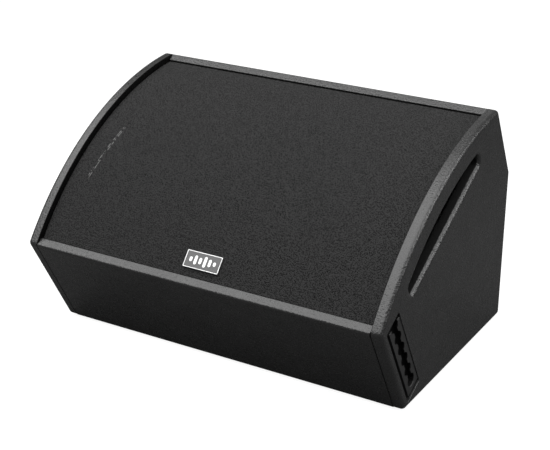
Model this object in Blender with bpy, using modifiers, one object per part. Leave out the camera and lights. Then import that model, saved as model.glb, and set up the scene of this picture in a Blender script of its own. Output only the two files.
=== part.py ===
"""A stage monitor wedge: a plywood floor loudspeaker with a foam-covered curved grille.

It runs in Blender 4.5, in metres, with +Z up. +X is the cabinet's width, the grille faces -Y
and up, and the origin is on the floor under the middle of the cabinet.

Two guide empties carry everything. cabinet_frame stands at the front bottom edge, where the
side panels are drawn in (y, z). sloping_front lies along the straight line between the two ends
of the curved front: its axes are x, u up the slope and v out of the cabinet.
"""

import math

import bmesh
import bpy
from mathutils import Matrix, Vector

MM = 0.001
GAP = 0.3 * MM
OVERRUN = 1 * MM

# The cabinet's outline, seen from the side.
WIDTH = 600 * MM
TILT = math.radians(29)
KICK = 178 * MM
CHORD = 430 * MM
REAR_SLOPE = 134 * MM
ARC_RISE = 48 * MM
ARC_STEPS = 20

# Boards.
SIDE = 17 * MM
BOARD = 15 * MM
INNER = WIDTH / 2 - SIDE
FACE_ROUND = 7 * MM
CORNER_ROUND = 7.5 * MM
EDGE_ROUND = 3.5 * MM
CORNER_STEPS = 3
HAND_STEPS = 4
LIP_STEPS = 4

# Feet.
FOOT_HEIGHT = 4 * MM
FOOT_RADIUS = 18 * MM
FOOT_X = 245 * MM
FOOT_INSET = 42 * MM
FOOT_CHAMFER = 1 * MM
FOOT_BORE = 2.2 * MM
FOOT_RECESS = (5.2 * MM, 2.4 * MM)
FOOT_SCREW_HEAD = (4.2 * MM, 1.8 * MM)
FOOT_SCREW_LENGTH = 10 * MM
SCREW_SHANK = 1.6 * MM
PILOT_RADIUS = 1.9 * MM
PILOT_DEPTH = 11 * MM

# The hand hole in each side panel, in slope coordinates. Its mouth is rounded over.
HAND_LOW_FRONT = (91 * MM, -27 * MM)
HAND_LOW_REAR = (345 * MM, -26 * MM)
HAND_BELOW_ARC = 37 * MM
HAND_FRONT_ROUND = 5 * MM
HAND_REAR_ROUND = 8.5 * MM
HAND_LIP = 7 * MM

# The fly track: its pocket, its body and its row of round openings.
POCKET_U = (12.7 * MM, 53.3 * MM)
POCKET_V = (-176 * MM, -12.7 * MM)
POCKET_ROUND = 3 * MM
TRACK_WIDTH = 33.4 * MM
TRACK_HEIGHT = 10.5 * MM
TRACK_RECESS = 1.3 * MM
TRACK_MARGIN = 0.3 * MM
TRACK_ENDS = (5.2 * MM, 9.6 * MM)
TRACK_CORNER = 1.5 * MM
TRACK_PITCH = 25.4 * MM
TRACK_HOLES = 6
TRACK_FIRST_HOLE = 2.3 * MM
TRACK_HOLE_RADIUS = 10 * MM
TRACK_HOLE_STEPS = 20
TRACK_SLOT = 10.4 * MM
TRACK_CHANNEL = 21.4 * MM
TRACK_LIP = 2 * MM
TRACK_BASE = 1.7 * MM
TRACK_FOOT = 8.8 * MM
TRACK_BOLTS = (2, 5)
TRACK_BOLT_RADIUS = 2.5 * MM
TRACK_BOLT_HEAD = (5 * MM, 2.2 * MM)
TRACK_BOLT_LENGTH = 11 * MM
BACKING = (3 * MM, 24 * MM, 104 * MM)

# Grille and badge.
FOAM_BELOW_ARC = 9 * MM
FOAM = 8 * MM
SHEET = 1.5 * MM
BADGE = (59 * MM, 25.5 * MM, 2.5 * MM)
BADGE_CORNER = 1 * MM
BADGE_BEVEL = 0.4 * MM
BADGE_U = 40 * MM
BATTEN = 12 * MM
BATTEN_GAP = 4 * MM

# Baffle and what it carries.
BAFFLE_V = -44 * MM
WOOFER = (-112 * MM, 205 * MM)
WOOFER_HOLE = 141.5 * MM
HORN = (165 * MM, 215 * MM)
HORN_HOLE = (184 * MM, 170 * MM)
PORT_U = {"lower": 69 * MM, "upper": 361 * MM}
PORT_RADIUS = 30 * MM
PORT_WALL = 3 * MM
PORT_FLANGE = 38 * MM
PORT_LENGTH = 75 * MM

# The woofer's own sizes: radii, and depths below the baffle's front face.
FLANGE_RADIUS = 156 * MM
CONE_RADIUS = 121 * MM
CONE_DEPTH = 44 * MM
SHELF_DEPTH = 62 * MM
TOP_PLATE = 8 * MM
MAGNET = 20 * MM
BACK_PLATE = 8 * MM
MAGNET_RADIUS = 85 * MM
PLATE_RADIUS = 76 * MM
POLE_RADIUS = 37.5 * MM
COIL_RADII = (38.3 * MM, 39.6 * MM)
MAGNET_GAP_RADIUS = 40.6 * MM
ROUND_STEPS = 32
SMALL_STEPS = 24
SCREW_STEPS = 10

# Brace, crossover, wadding and the connector dish at the back.
BRACE_X = 57.5 * MM
WINDOW_SHARE = 0.62
WINDOW_ROUND = 14 * MM
CROSSOVER = (-150 * MM, 150 * MM)
CROSSOVER_BOARD = (170 * MM, 120 * MM, 3 * MM)
DISH_Z = 78 * MM
DISH_FLANGE = (92 * MM, 72 * MM)
DISH_CUP = (78 * MM, 56 * MM)
DISH_DEPTH = 24 * MM
DISH_WALL = 2.5 * MM
DISH_FLANGE_THICK = 3 * MM
SOCKET_X = 19 * MM
SOCKET_RADIUS = 13 * MM
DISH_SCREW_AT = (42 * MM, 32 * MM)
DISH_SCREW_LENGTH = 12 * MM

# Driven from the above.
ARC_RADIUS = (CHORD**2 / 4 + ARC_RISE**2) / (2 * ARC_RISE)
ARC_CENTRE = (CHORD / 2, ARC_RISE - ARC_RADIUS)
ALONG = Vector((math.cos(TILT), math.sin(TILT)))
OUT = Vector((-math.sin(TILT), math.cos(TILT)))
POINT_A = Vector((0, 0))
POINT_B = OUT * KICK
POINT_C = POINT_B + ALONG * CHORD
POINT_D = POINT_C - OUT * REAR_SLOPE
BACK_Y = POINT_D.x
POINT_E = Vector((BACK_Y, 0))
SCREW_HEAD = (3.6 * MM, 1.6 * MM)
FRONT_LOSS = 0.3594
FRONT_Y = POINT_B.x + FRONT_LOSS * EDGE_ROUND
REAR_Y = BACK_Y + 2 * GAP + DISH_FLANGE_THICK + SCREW_HEAD[1]
MIDDLE_Y = (FRONT_Y + REAR_Y) / 2
TRACK_V = (POCKET_V[0] + TRACK_ENDS[0], POCKET_V[1] - TRACK_ENDS[1])
TRACK_U = POCKET_U[1] - TRACK_MARGIN - TRACK_WIDTH / 2
TRACK_TOP = WIDTH / 2 - TRACK_RECESS
POCKET_FLOOR = TRACK_TOP - TRACK_HEIGHT - GAP

SIDEWAYS = (math.pi / 2, 0, math.pi / 2)


# ---------------------------------------------------------------- scene and materials

def clear_scene():
    for obj in list(bpy.data.objects):
        bpy.data.objects.remove(obj)


def new_collection(name):
    group = bpy.data.collections.new(name)
    bpy.context.scene.collection.children.link(group)
    return group


clear_scene()
PARTS = new_collection("stage_monitor_wedge")
CUTTERS = new_collection("cutters")


def material(name, colour, roughness, metallic=0.0):
    made = bpy.data.materials.new(name)
    made.use_nodes = True
    shader = made.node_tree.nodes["Principled BSDF"]
    shader.inputs["Base Color"].default_value = (*colour, 1)
    shader.inputs["Roughness"].default_value = roughness
    shader.inputs["Metallic"].default_value = metallic
    return made


PAINT = material("textured_paint", (0.035, 0.035, 0.036), 0.55)
PLYWOOD = material("birch_plywood", (0.45, 0.33, 0.2), 0.6)
FOAM_BLACK = material("grille_foam", (0.03, 0.03, 0.031), 0.95)
STEEL_BLACK = material("powder_coated_steel", (0.03, 0.03, 0.03), 0.45, 0.3)
TRACK_GREY = material("anodised_track", (0.04, 0.04, 0.042), 0.5, 0.4)
STEEL = material("zinc_plated_steel", (0.6, 0.6, 0.6), 0.35, 1.0)
FERRITE = material("ferrite", (0.05, 0.05, 0.055), 0.6)
CAST = material("cast_basket", (0.06, 0.06, 0.06), 0.5, 0.4)
PAPER = material("paper_cone", (0.03, 0.03, 0.03), 0.85)
RUBBER = material("rubber", (0.025, 0.025, 0.025), 0.8)
CLOTH = material("treated_cloth", (0.3, 0.2, 0.08), 0.9)
COPPER = material("enamelled_copper", (0.6, 0.27, 0.12), 0.35, 1.0)
PLASTIC = material("moulded_plastic", (0.02, 0.02, 0.02), 0.45)
BADGE_GREY = material("badge", (0.2, 0.2, 0.2), 0.4)
HARDBOARD = material("circuit_board", (0.12, 0.2, 0.1), 0.5)
WADDING = material("wadding", (0.7, 0.7, 0.68), 1.0)


# ---------------------------------------------------------------- making objects

def guide(name, location, rotation=(0, 0, 0), parent=None):
    """An empty that other objects are placed from."""
    empty = bpy.data.objects.new(name, None)
    empty.location = location
    empty.rotation_euler = rotation
    empty.parent = parent
    PARTS.objects.link(empty)
    return empty


def place(obj, finish, parent=None, location=(0, 0, 0), rotation=(0, 0, 0)):
    obj.data.materials.append(finish)
    obj.location = location
    obj.rotation_euler = rotation
    obj.parent = parent
    PARTS.objects.link(obj)
    return obj


def make_cutter(obj, parent=None, location=(0, 0, 0), rotation=(0, 0, 0)):
    obj.location = location
    obj.rotation_euler = rotation
    obj.parent = parent
    obj.hide_render = True
    obj.display_type = "WIRE"
    CUTTERS.objects.link(obj)
    return obj


def cut(obj, *cutters):
    for cutter in cutters:
        modifier = obj.modifiers.new(cutter.name, "BOOLEAN")
        modifier.operation = "DIFFERENCE"
        modifier.object = cutter
    return obj


def join(obj, *others):
    for other in others:
        modifier = obj.modifiers.new(other.name, "BOOLEAN")
        modifier.operation = "UNION"
        modifier.object = other
    return obj


def smooth(obj, degrees=35):
    """Smooth shading, with creases sharper than the angle kept."""
    obj.data.shade_smooth()
    obj.data.set_sharp_from_angle(angle=math.radians(degrees))
    return obj


def outline_curve(name, loops, thickness):
    """A flat outline in the local XY plane, extruded to a thickness about it. Inner loops are holes."""
    curve = bpy.data.curves.new(name, "CURVE")
    curve.dimensions = "2D"
    curve.fill_mode = "BOTH"
    curve.extrude = thickness / 2
    for loop in loops:
        spline = curve.splines.new("POLY")
        spline.points.add(len(loop) - 1)
        for point, (x, y) in zip(spline.points, loop):
            point.co = (x, y, 0, 1)
        spline.use_cyclic_u = True
    return bpy.data.objects.new(name, curve)


def as_mesh(obj):
    """The same shape as a mesh, which can be cut and bevelled."""
    bpy.context.scene.collection.objects.link(obj)
    bpy.context.view_layer.update()
    graph = bpy.context.evaluated_depsgraph_get()
    mesh = bpy.data.meshes.new_from_object(obj.evaluated_get(graph))
    name = obj.name
    bpy.data.objects.remove(obj)
    shape = bmesh.new()
    shape.from_mesh(mesh)
    bmesh.ops.remove_doubles(shape, verts=shape.verts, dist=0.00001)
    bmesh.ops.recalc_face_normals(shape, faces=shape.faces)
    shape.to_mesh(mesh)
    shape.free()
    mesh.materials.clear()
    mesh.name = name
    return bpy.data.objects.new(name, mesh)


def outline_mesh(name, loops, thickness):
    return as_mesh(outline_curve(name, loops, thickness))


def round_edges(obj, wanted, radius, segments=CORNER_STEPS):
    """Bevels only the edges for which wanted(first corner, second corner) is true."""
    shape = bmesh.new()
    shape.from_mesh(obj.data)
    weight = shape.edges.layers.float.new("bevel_weight_edge")
    for edge in shape.edges:
        if edge.calc_face_angle(0) > math.radians(30):
            edge[weight] = float(wanted(*[corner.co for corner in edge.verts]))
    shape.to_mesh(obj.data)
    shape.free()
    modifier = obj.modifiers.new("rounded edges", "BEVEL")
    modifier.limit_method = "WEIGHT"
    modifier.width = radius
    modifier.segments = segments
    return obj


def box(name, size, centre=(0, 0, 0)):
    """A box of a size about a centre, with its scale in its mesh."""
    mesh = bpy.data.meshes.new(name)
    shape = bmesh.new()
    bmesh.ops.create_cube(shape, size=1)
    bmesh.ops.scale(shape, vec=size, verts=shape.verts)
    bmesh.ops.translate(shape, vec=centre, verts=shape.verts)
    shape.to_mesh(mesh)
    shape.free()
    return bpy.data.objects.new(name, mesh)


def bevel(obj, width, segments=2):
    modifier = obj.modifiers.new("edges", "BEVEL")
    modifier.width = width
    modifier.segments = segments
    modifier.limit_method = "ANGLE"
    return obj


def rod(name, radius, length, steps=24):
    """A cylinder about local Z, from 0 to its length."""
    mesh = bpy.data.meshes.new(name)
    shape = bmesh.new()
    bmesh.ops.create_cone(
        shape, cap_ends=True, segments=steps, radius1=radius, radius2=radius, depth=length
    )
    bmesh.ops.translate(shape, vec=(0, 0, length / 2), verts=shape.verts)
    shape.to_mesh(mesh)
    shape.free()
    return bpy.data.objects.new(name, mesh)


def turned(name, profile, steps=ROUND_STEPS, closed=True):
    """A profile of (radius, height) points turned about local Z. It runs down its outer side.
    A closed profile makes a ring. An open one starts and ends on the axis."""
    mesh = bpy.data.meshes.new(name)
    points = [(radius, 0, height) for radius, height in profile]
    links = [(i, i + 1) for i in range(len(points) - 1)]
    if closed:
        links.append((len(points) - 1, 0))
    mesh.from_pydata(points, links, [])
    obj = bpy.data.objects.new(name, mesh)
    screw = obj.modifiers.new("turned", "SCREW")
    screw.steps = steps
    screw.render_steps = steps
    screw.use_merge_vertices = True
    screw.merge_threshold = 0.00002
    screw.use_smooth_shade = True
    return obj


def turned_mesh(name, profile, steps=ROUND_STEPS, closed=True):
    """A turned shape as a mesh, which can be a cutter or be cut."""
    return as_mesh(turned(name, profile, steps, closed))


def loft(name, sections, capped=False):
    """A skin through closed sections with as many points each, open or capped at both ends."""
    mesh = bpy.data.meshes.new(name)
    shape = bmesh.new()
    rings = [[shape.verts.new(point) for point in section] for section in sections]
    for first, second in zip(rings, rings[1:]):
        for k in range(len(first)):
            after = (k + 1) % len(first)
            shape.faces.new((first[k], first[after], second[after], second[k]))
    if capped:
        shape.faces.new(rings[0])
        shape.faces.new(rings[-1])
        bmesh.ops.recalc_face_normals(shape, faces=shape.faces)
    shape.to_mesh(mesh)
    shape.free()
    return bpy.data.objects.new(name, mesh)


# ---------------------------------------------------------------- outlines

def rounded(points, radii, steps=CORNER_STEPS):
    """The outline with each corner that has a radius turned into an arc."""
    result = []
    count = len(points)
    for i, (point, radius) in enumerate(zip(points, radii)):
        corner = Vector(point)
        if radius == 0:
            result.append(tuple(corner))
            continue
        before = (Vector(points[i - 1]) - corner).normalized()
        after = (Vector(points[(i + 1) % count]) - corner).normalized()
        half = before.angle(after) / 2
        centre = corner + (before + after).normalized() * (radius / math.sin(half))
        start = corner + before * (radius / math.tan(half))
        sweep = math.pi - 2 * half
        turn = math.copysign(1, before.cross(after))
        for k in range(steps + 1):
            angle = -turn * sweep * k / steps
            arm = start - centre
            arm.rotate(Matrix.Rotation(angle, 2))
            result.append(tuple(centre + arm))
    return result


def rectangle(low, high, radius=0.0, steps=CORNER_STEPS):
    corners = [low, (high[0], low[1]), high, (low[0], high[1])]
    return rounded(corners, [radius] * 4, steps)


def grown(outline, distance):
    """The closed outline moved outwards by a distance, with as many points."""
    points = [Vector(p) for p in outline]
    turn = math.copysign(1, sum(points[i - 1].cross(p) for i, p in enumerate(points)))
    moved = []
    for i, here in enumerate(points):
        before = (here - points[i - 1]).normalized()
        after = (points[(i + 1) % len(points)] - here).normalized()
        side = Vector((before.y, -before.x)) * turn
        normal = (side + Vector((after.y, -after.x)) * turn).normalized()
        moved.append(tuple(here + normal * (distance / normal.dot(side))))
    return moved


def arc_v(u, below=0.0):
    """Height over the chord of the curve that lies a distance below the curved front."""
    return ARC_CENTRE[1] + math.sqrt((ARC_RADIUS - below) ** 2 - (u - ARC_CENTRE[0]) ** 2)


def arc_points(start, end, below, steps):
    """Points on that curve from one u to another, evenly spaced in angle."""
    radius = ARC_RADIUS - below
    first = math.asin((start - ARC_CENTRE[0]) / radius)
    last = math.asin((end - ARC_CENTRE[0]) / radius)
    angles = [first + (last - first) * k / steps for k in range(steps + 1)]
    return [
        (ARC_CENTRE[0] + radius * math.sin(a), ARC_CENTRE[1] + radius * math.cos(a))
        for a in angles
    ]


def from_slope(u, v):
    """The (y, z) in the cabinet frame of a point on the slope."""
    return tuple(POINT_B + ALONG * u + OUT * v)


def y_on_slope_plane(u, z):
    """Where the plane at that u crosses the height z."""
    return POINT_B.x + (u - (z - POINT_B.y) * ALONG.y) / ALONG.x


def z_on_slope_plane(u, y):
    """Where the plane at that u crosses the depth y."""
    return POINT_B.y + (u - (y - POINT_B.x) * ALONG.x) / ALONG.y


# ---------------------------------------------------------------- guides

cabinet_frame = guide("cabinet_frame", (0, -MIDDLE_Y, FOOT_HEIGHT))
sloping_front = guide("sloping_front", (0, *POINT_B), (TILT, 0, 0), cabinet_frame)
woofer_axis = guide("woofer_axis", (*WOOFER, BAFFLE_V), parent=sloping_front)
horn_axis = guide("horn_axis", (*HORN, BAFFLE_V), parent=sloping_front)
back_face = guide("back_face", (0, BACK_Y, DISH_Z), (math.pi / 2, 0, math.pi), cabinet_frame)


# ---------------------------------------------------------------- cabinet panels

def hand_hole_outline():
    """A long hole: a slanting lower edge, and an upper edge parallel to the curved front."""
    front = HAND_LOW_FRONT[0]
    rear = HAND_LOW_REAR[0]
    step_in = 20 * MM
    upper = arc_points(rear - step_in, front + step_in, HAND_BELOW_ARC, 10)
    corners = [HAND_LOW_FRONT, HAND_LOW_REAR, (rear, arc_v(rear, HAND_BELOW_ARC))]
    corners += upper + [(front, arc_v(front, HAND_BELOW_ARC))]
    radii = [HAND_FRONT_ROUND, HAND_REAR_ROUND, HAND_REAR_ROUND]
    radii += [0] * len(upper) + [HAND_FRONT_ROUND]
    return rounded(corners, radii, HAND_STEPS)


def side_outline():
    """The side panel's outline in the cabinet frame, with its five corners rounded."""
    curved = [from_slope(*p) for p in arc_points(CHORD, 0, 0, ARC_STEPS)]
    corners = [tuple(POINT_A), tuple(POINT_E), tuple(POINT_D)] + curved
    is_corner = [True, True, True, True] + [False] * (len(curved) - 2) + [True]
    return rounded(corners, [CORNER_ROUND * flag for flag in is_corner])


def hand_hole_cutter(name, side):
    """The hole through the panel, opening out towards the outer face in a quarter round."""
    outline = hand_hole_outline()
    face = WIDTH / 2
    sections = [(INNER - SIDE, outline)]
    for k in range(LIP_STEPS + 1):
        angle = math.pi / 2 * k / LIP_STEPS
        depth = HAND_LIP * (1 - math.sin(angle))
        sections.append((face - depth, grown(outline, HAND_LIP * (1 - math.cos(angle)))))
    sections.append((face + SIDE, grown(outline, HAND_LIP)))
    rings = [[(side * x, *point) for point in section] for x, section in sections]
    return make_cutter(loft(name, rings, capped=True), sloping_front)


def side_panel(name, side):
    """side is 1 on the right and -1 on the left. Only the outer face has rounded edges."""
    panel = outline_mesh(name, [side_outline()], SIDE)

    def on_outer_face(first, second):
        return min(side * first.z, side * second.z) > 0

    round_edges(panel, on_outer_face, FACE_ROUND)
    hand_hole = hand_hole_cutter(name + "_hand_hole", side)
    low = (POCKET_U[0], POCKET_V[0])
    high = (POCKET_U[1], POCKET_V[1])
    depth = WIDTH / 2 - POCKET_FLOOR
    pocket = outline_mesh(name + "_pocket", [rectangle(low, high, POCKET_ROUND)], 2 * depth)
    make_cutter(pocket, sloping_front, (side * WIDTH / 2, 0, 0), SIDEWAYS)
    cut(panel, hand_hole, pocket)
    for hole in TRACK_BOLTS:
        cut(panel, bolt_bore(f"{name}_bore_{hole}", side, hole))
    place(panel, PAINT, cabinet_frame, (side * (WIDTH - SIDE) / 2, 0, 0), SIDEWAYS)


def track_hole_v(hole):
    """Where along the slope frame's v the numbered round opening of a fly track is."""
    return TRACK_V[1] - TRACK_FIRST_HOLE - hole * TRACK_PITCH


def bolt_bore(name, side, hole):
    """A clearance hole for a track bolt, from inside the cabinet to the channel of the track."""
    bore = rod(name, TRACK_BOLT_RADIUS + 0.3 * MM, 2 * SIDE, SCREW_STEPS)
    at = (side * (INNER - SIDE / 2), TRACK_U, track_hole_v(hole))
    return make_cutter(bore, sloping_front, at, (0, side * math.pi / 2, 0))


def cross_panel(name, corners, rounded_at=()):
    """A board across the cabinet, whose section is drawn in the cabinet frame."""
    width = 2 * (INNER - GAP)
    panel = outline_mesh(name, [corners], width)

    def at_rounded_corner(first, second):
        along = abs(first.z - second.z) > width / 2
        near = any((first.xy - Vector(p)).length < 0.0001 for p in rounded_at)
        return along and near

    round_edges(panel, at_rounded_corner, EDGE_ROUND)
    return place(panel, PAINT, cabinet_frame, (0, 0, 0), SIDEWAYS)


def kick_panel():
    inner_foot = (y_on_slope_plane(BOARD, 0), 0)
    corners = [tuple(POINT_A), inner_foot, from_slope(BOARD, 0), tuple(POINT_B)]
    cross_panel("kick_panel", corners, [POINT_A, POINT_B])


def rear_slope_panel():
    inner = CHORD - BOARD
    low_inner = (BACK_Y, z_on_slope_plane(inner, BACK_Y))
    corners = [low_inner, tuple(POINT_D), tuple(POINT_C), from_slope(inner, 0)]
    cross_panel("rear_slope_panel", corners, [POINT_C, POINT_D])


def bottom_panel():
    front = BOARD + GAP
    back = BACK_Y - BOARD - GAP
    corners = [(y_on_slope_plane(front, 0), 0), (back, 0), (back, BOARD)]
    corners.append((y_on_slope_plane(front, BOARD), BOARD))
    panel = cross_panel("bottom_panel", corners)
    for foot, (x, y) in foot_places().items():
        pilot = rod(f"foot_pilot_{foot}", PILOT_RADIUS, PILOT_DEPTH + OVERRUN, SCREW_STEPS)
        make_cutter(pilot, cabinet_frame, (x, y, -OVERRUN))
        cut(panel, pilot)


def back_panel():
    """Upright, with a hole for the connector dish and pilot holes for its screws."""
    inner = BACK_Y - BOARD
    under = CHORD - BOARD - GAP
    top_outer = (BACK_Y, z_on_slope_plane(under, BACK_Y))
    top_inner = (inner, z_on_slope_plane(under, inner))
    panel = cross_panel("back_panel", [(inner, 0), (BACK_Y, 0), top_outer, top_inner])
    half = Vector(DISH_CUP) / 2 + Vector((DISH_WALL + 0.5 * MM,) * 2)
    opening = outline_mesh("dish_opening", [rectangle(-half, half, 7 * MM)], 3 * BOARD)
    cut(panel, make_cutter(opening, back_face))
    for number, (x, z) in enumerate(dish_screw_places()):
        depth = DISH_SCREW_LENGTH
        pilot = rod(f"dish_pilot_{number}", PILOT_RADIUS, depth + OVERRUN, SCREW_STEPS)
        make_cutter(pilot, back_face, (x, z, -depth))
        cut(panel, pilot)


def brace():
    """An upright board between woofer and horn, with a window for air and wiring."""
    front = BOARD + GAP
    back = BACK_Y - BOARD - GAP
    rear = CHORD - BOARD - GAP
    floor = BOARD + GAP
    under = BAFFLE_V - BOARD - GAP
    outline = [
        (y_on_slope_plane(front, floor), floor),
        (back, floor),
        (back, z_on_slope_plane(rear, back)),
        from_slope(rear, under),
        from_slope(front, under),
    ]
    middle = Vector((sum(p[0] for p in outline), sum(p[1] for p in outline))) / len(outline)
    window = [tuple(middle + (Vector(p) - middle) * WINDOW_SHARE) for p in outline]
    window = rounded(window, [WINDOW_ROUND] * len(window), CORNER_STEPS + 1)
    board = outline_curve("brace", [outline, window], BOARD)
    place(board, PLYWOOD, cabinet_frame, (BRACE_X, 0, 0), SIDEWAYS)


def foot_places():
    front = FOOT_INSET
    back = BACK_Y - FOOT_INSET
    return {
        "front_left": (-FOOT_X, front),
        "front_right": (FOOT_X, front),
        "back_left": (-FOOT_X, back),
        "back_right": (FOOT_X, back),
    }


def feet():
    """Low rubber feet, each held by a screw sunk into it."""
    top = -GAP
    low = -FOOT_HEIGHT
    profile = [
        (FOOT_BORE, top),
        (FOOT_RADIUS, top),
        (FOOT_RADIUS, low + FOOT_CHAMFER),
        (FOOT_RADIUS - FOOT_CHAMFER, low),
        (FOOT_RECESS[0], low),
        (FOOT_RECESS[0], low + FOOT_RECESS[1]),
        (FOOT_BORE, low + FOOT_RECESS[1]),
    ]
    for name, at in foot_places().items():
        place(turned("foot_" + name, profile, SMALL_STEPS), RUBBER, cabinet_frame, (*at, 0))
        sizes = (*FOOT_SCREW_HEAD, SCREW_SHANK, FOOT_SCREW_LENGTH)
        screw = headed_screw("foot_screw_" + name, *sizes)
        head_at = low + FOOT_RECESS[1] - GAP
        place(screw, STEEL, cabinet_frame, (*at, head_at), (math.pi, 0, 0))


def headed_screw(name, head_radius, tall, shank, length):
    """Head above local Z = 0, shank below it."""
    profile = [
        (0, tall),
        (head_radius * 0.8, tall),
        (head_radius, 0),
        (shank, 0),
        (shank, -length),
        (0, -length),
    ]
    return turned(name, profile, SCREW_STEPS, closed=False)


# ---------------------------------------------------------------- fly tracks

def fly_track(side):
    """A grooved rail let into the side panel: round openings a pitch apart, joined by a slot."""
    name = "fly_track_right" if side > 0 else "fly_track_left"
    ends = (TRACK_U - TRACK_WIDTH / 2, TRACK_V[0]), (TRACK_U + TRACK_WIDTH / 2, TRACK_V[1])
    rail = outline_mesh(name, [rectangle(*ends, TRACK_CORNER)], TRACK_HEIGHT)
    lip_x = side * (TRACK_TOP - TRACK_LIP / 2)
    channel_depth = TRACK_HEIGHT - TRACK_LIP - TRACK_BASE
    channel_x = side * (TRACK_TOP - TRACK_LIP - channel_depth / 2)
    low = TRACK_V[0] + TRACK_FOOT
    high = TRACK_V[1] + OVERRUN
    run = high - low
    slot = box(name + "_slot", (TRACK_LIP + OVERRUN, TRACK_SLOT, run))
    channel = box(name + "_channel", (channel_depth, TRACK_CHANNEL, run))
    make_cutter(slot, sloping_front, (lip_x, TRACK_U, (low + high) / 2))
    make_cutter(channel, sloping_front, (channel_x, TRACK_U, (low + high) / 2))
    cut(rail, channel, slot)
    inward = (0, -side * math.pi / 2, 0)
    for hole in range(TRACK_HOLES):
        deep = TRACK_LIP + 1.5 * OVERRUN
        mouth = rod(f"{name}_hole_{hole}", TRACK_HOLE_RADIUS, deep, TRACK_HOLE_STEPS)
        at = (side * (TRACK_TOP + OVERRUN), TRACK_U, track_hole_v(hole))
        cut(rail, make_cutter(mouth, sloping_front, at, inward))
    middle_v = sum(track_hole_v(hole) for hole in TRACK_BOLTS) / len(TRACK_BOLTS)
    strip = box("track_backing_" + name[10:], BACKING)
    for number, hole in enumerate(TRACK_BOLTS, 1):
        cut(rail, bolt_bore(f"{name}_rail_bore_{hole}", side, hole))
        cut(strip, bolt_bore(f"{name}_strip_bore_{hole}", side, hole))
        bolt_name = f"track_bolt_{name[10:]}_{number}"
        bolt = headed_screw(bolt_name, *TRACK_BOLT_HEAD, TRACK_BOLT_RADIUS, TRACK_BOLT_LENGTH)
        at = (side * (TRACK_TOP - TRACK_HEIGHT + TRACK_BASE + GAP), TRACK_U, track_hole_v(hole))
        place(bolt, STEEL_BLACK, sloping_front, at, (0, side * math.pi / 2, 0))
    strip_x = side * (INNER - GAP - BACKING[0] / 2)
    place(strip, STEEL, sloping_front, (strip_x, TRACK_U, middle_v))
    x = side * (TRACK_TOP - TRACK_HEIGHT / 2)
    place(rail, TRACK_GREY, sloping_front, (x, 0, 0), SIDEWAYS)


# ---------------------------------------------------------------- grille

def curved_sheet(name, below, thickness, half_width, finish, middle_x=0.0, ends=None, steps=20):
    """A sheet bent to the curved front, a distance below it."""
    start, end = ends or (BOARD + GAP, CHORD - BOARD - GAP)
    outer = arc_points(start, end, below, steps)
    inner = arc_points(end, start, below + thickness, steps)
    sheet = outline_curve(name, [outer + inner], 2 * half_width)
    return place(sheet, finish, sloping_front, (middle_x, 0, 0), SIDEWAYS)


def grille():
    """Foam on a perforated steel sheet, which rests on two blocks and two curved battens."""
    half = INNER - 2 * GAP
    curved_sheet("grille_foam", FOAM_BELOW_ARC, FOAM, half, FOAM_BLACK)
    under_foam = FOAM_BELOW_ARC + FOAM + GAP
    curved_sheet("grille_sheet", under_foam, SHEET, half, STEEL_BLACK)
    under_sheet = under_foam + SHEET + GAP
    step_in = BOARD + BATTEN + BATTEN_GAP
    ends = (step_in, CHORD - step_in)
    for name, side in (("left", -1), ("right", 1)):
        x = side * (INNER - GAP - BATTEN / 2)
        strip = "grille_batten_" + name
        curved_sheet(strip, under_sheet, BATTEN, BATTEN / 2, PAINT, x, ends, 12)
    foot = BAFFLE_V + GAP
    spans = {
        "lower": (BOARD + GAP, BOARD + BATTEN),
        "upper": (CHORD - BOARD - BATTEN, CHORD - BOARD - GAP),
    }
    for name, (start, end) in spans.items():
        corners = [(start, foot), (end, foot), (end, arc_v(end, under_sheet))]
        corners.append((start, arc_v(start, under_sheet)))
        block = outline_curve("grille_block_" + name, [corners], 2 * (INNER - GAP))
        place(block, PAINT, sloping_front, (0, 0, 0), SIDEWAYS)


def badge():
    """A small plate lying on the foam."""
    lean = math.asin((ARC_CENTRE[0] - BADGE_U) / (ARC_RADIUS - FOAM_BELOW_ARC))
    half = Vector(BADGE[:2]) / 2
    plate = outline_mesh("badge", [rectangle(-half, half, BADGE_CORNER)], BADGE[2])
    bevel(plate, BADGE_BEVEL, 1)
    rise = BADGE[2] / 2 + GAP
    u = BADGE_U - rise * math.sin(lean)
    v = arc_v(BADGE_U, FOAM_BELOW_ARC) + rise * math.cos(lean)
    place(plate, BADGE_GREY, sloping_front, (0, u, v), (lean, 0, 0))


# ---------------------------------------------------------------- baffle and ports

def baffle():
    """A flat board set back behind the curved grille."""
    low = (-INNER + GAP, BOARD + GAP)
    high = (INNER - GAP, CHORD - BOARD - GAP)
    board = outline_mesh("baffle", [rectangle(low, high)], BOARD)
    place(board, PAINT, sloping_front, (0, 0, BAFFLE_V - BOARD / 2))
    under = -2 * BOARD
    woofer_hole = rod("woofer_hole", WOOFER_HOLE, 3 * BOARD, ROUND_STEPS)
    make_cutter(woofer_hole, woofer_axis, (0, 0, under))
    half = Vector(HORN_HOLE) / 2
    horn_hole = outline_mesh("horn_hole", [rectangle(-half, half, 8 * MM)], 3 * BOARD)
    make_cutter(horn_hole, horn_axis)
    cut(board, woofer_hole, horn_hole)
    for name, u in PORT_U.items():
        hole = rod(f"port_hole_{name}", PORT_RADIUS + PORT_WALL + 0.4 * MM, 3 * BOARD, SMALL_STEPS)
        make_cutter(hole, sloping_front, (HORN[0], u, BAFFLE_V + under))
        cut(board, hole)


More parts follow.
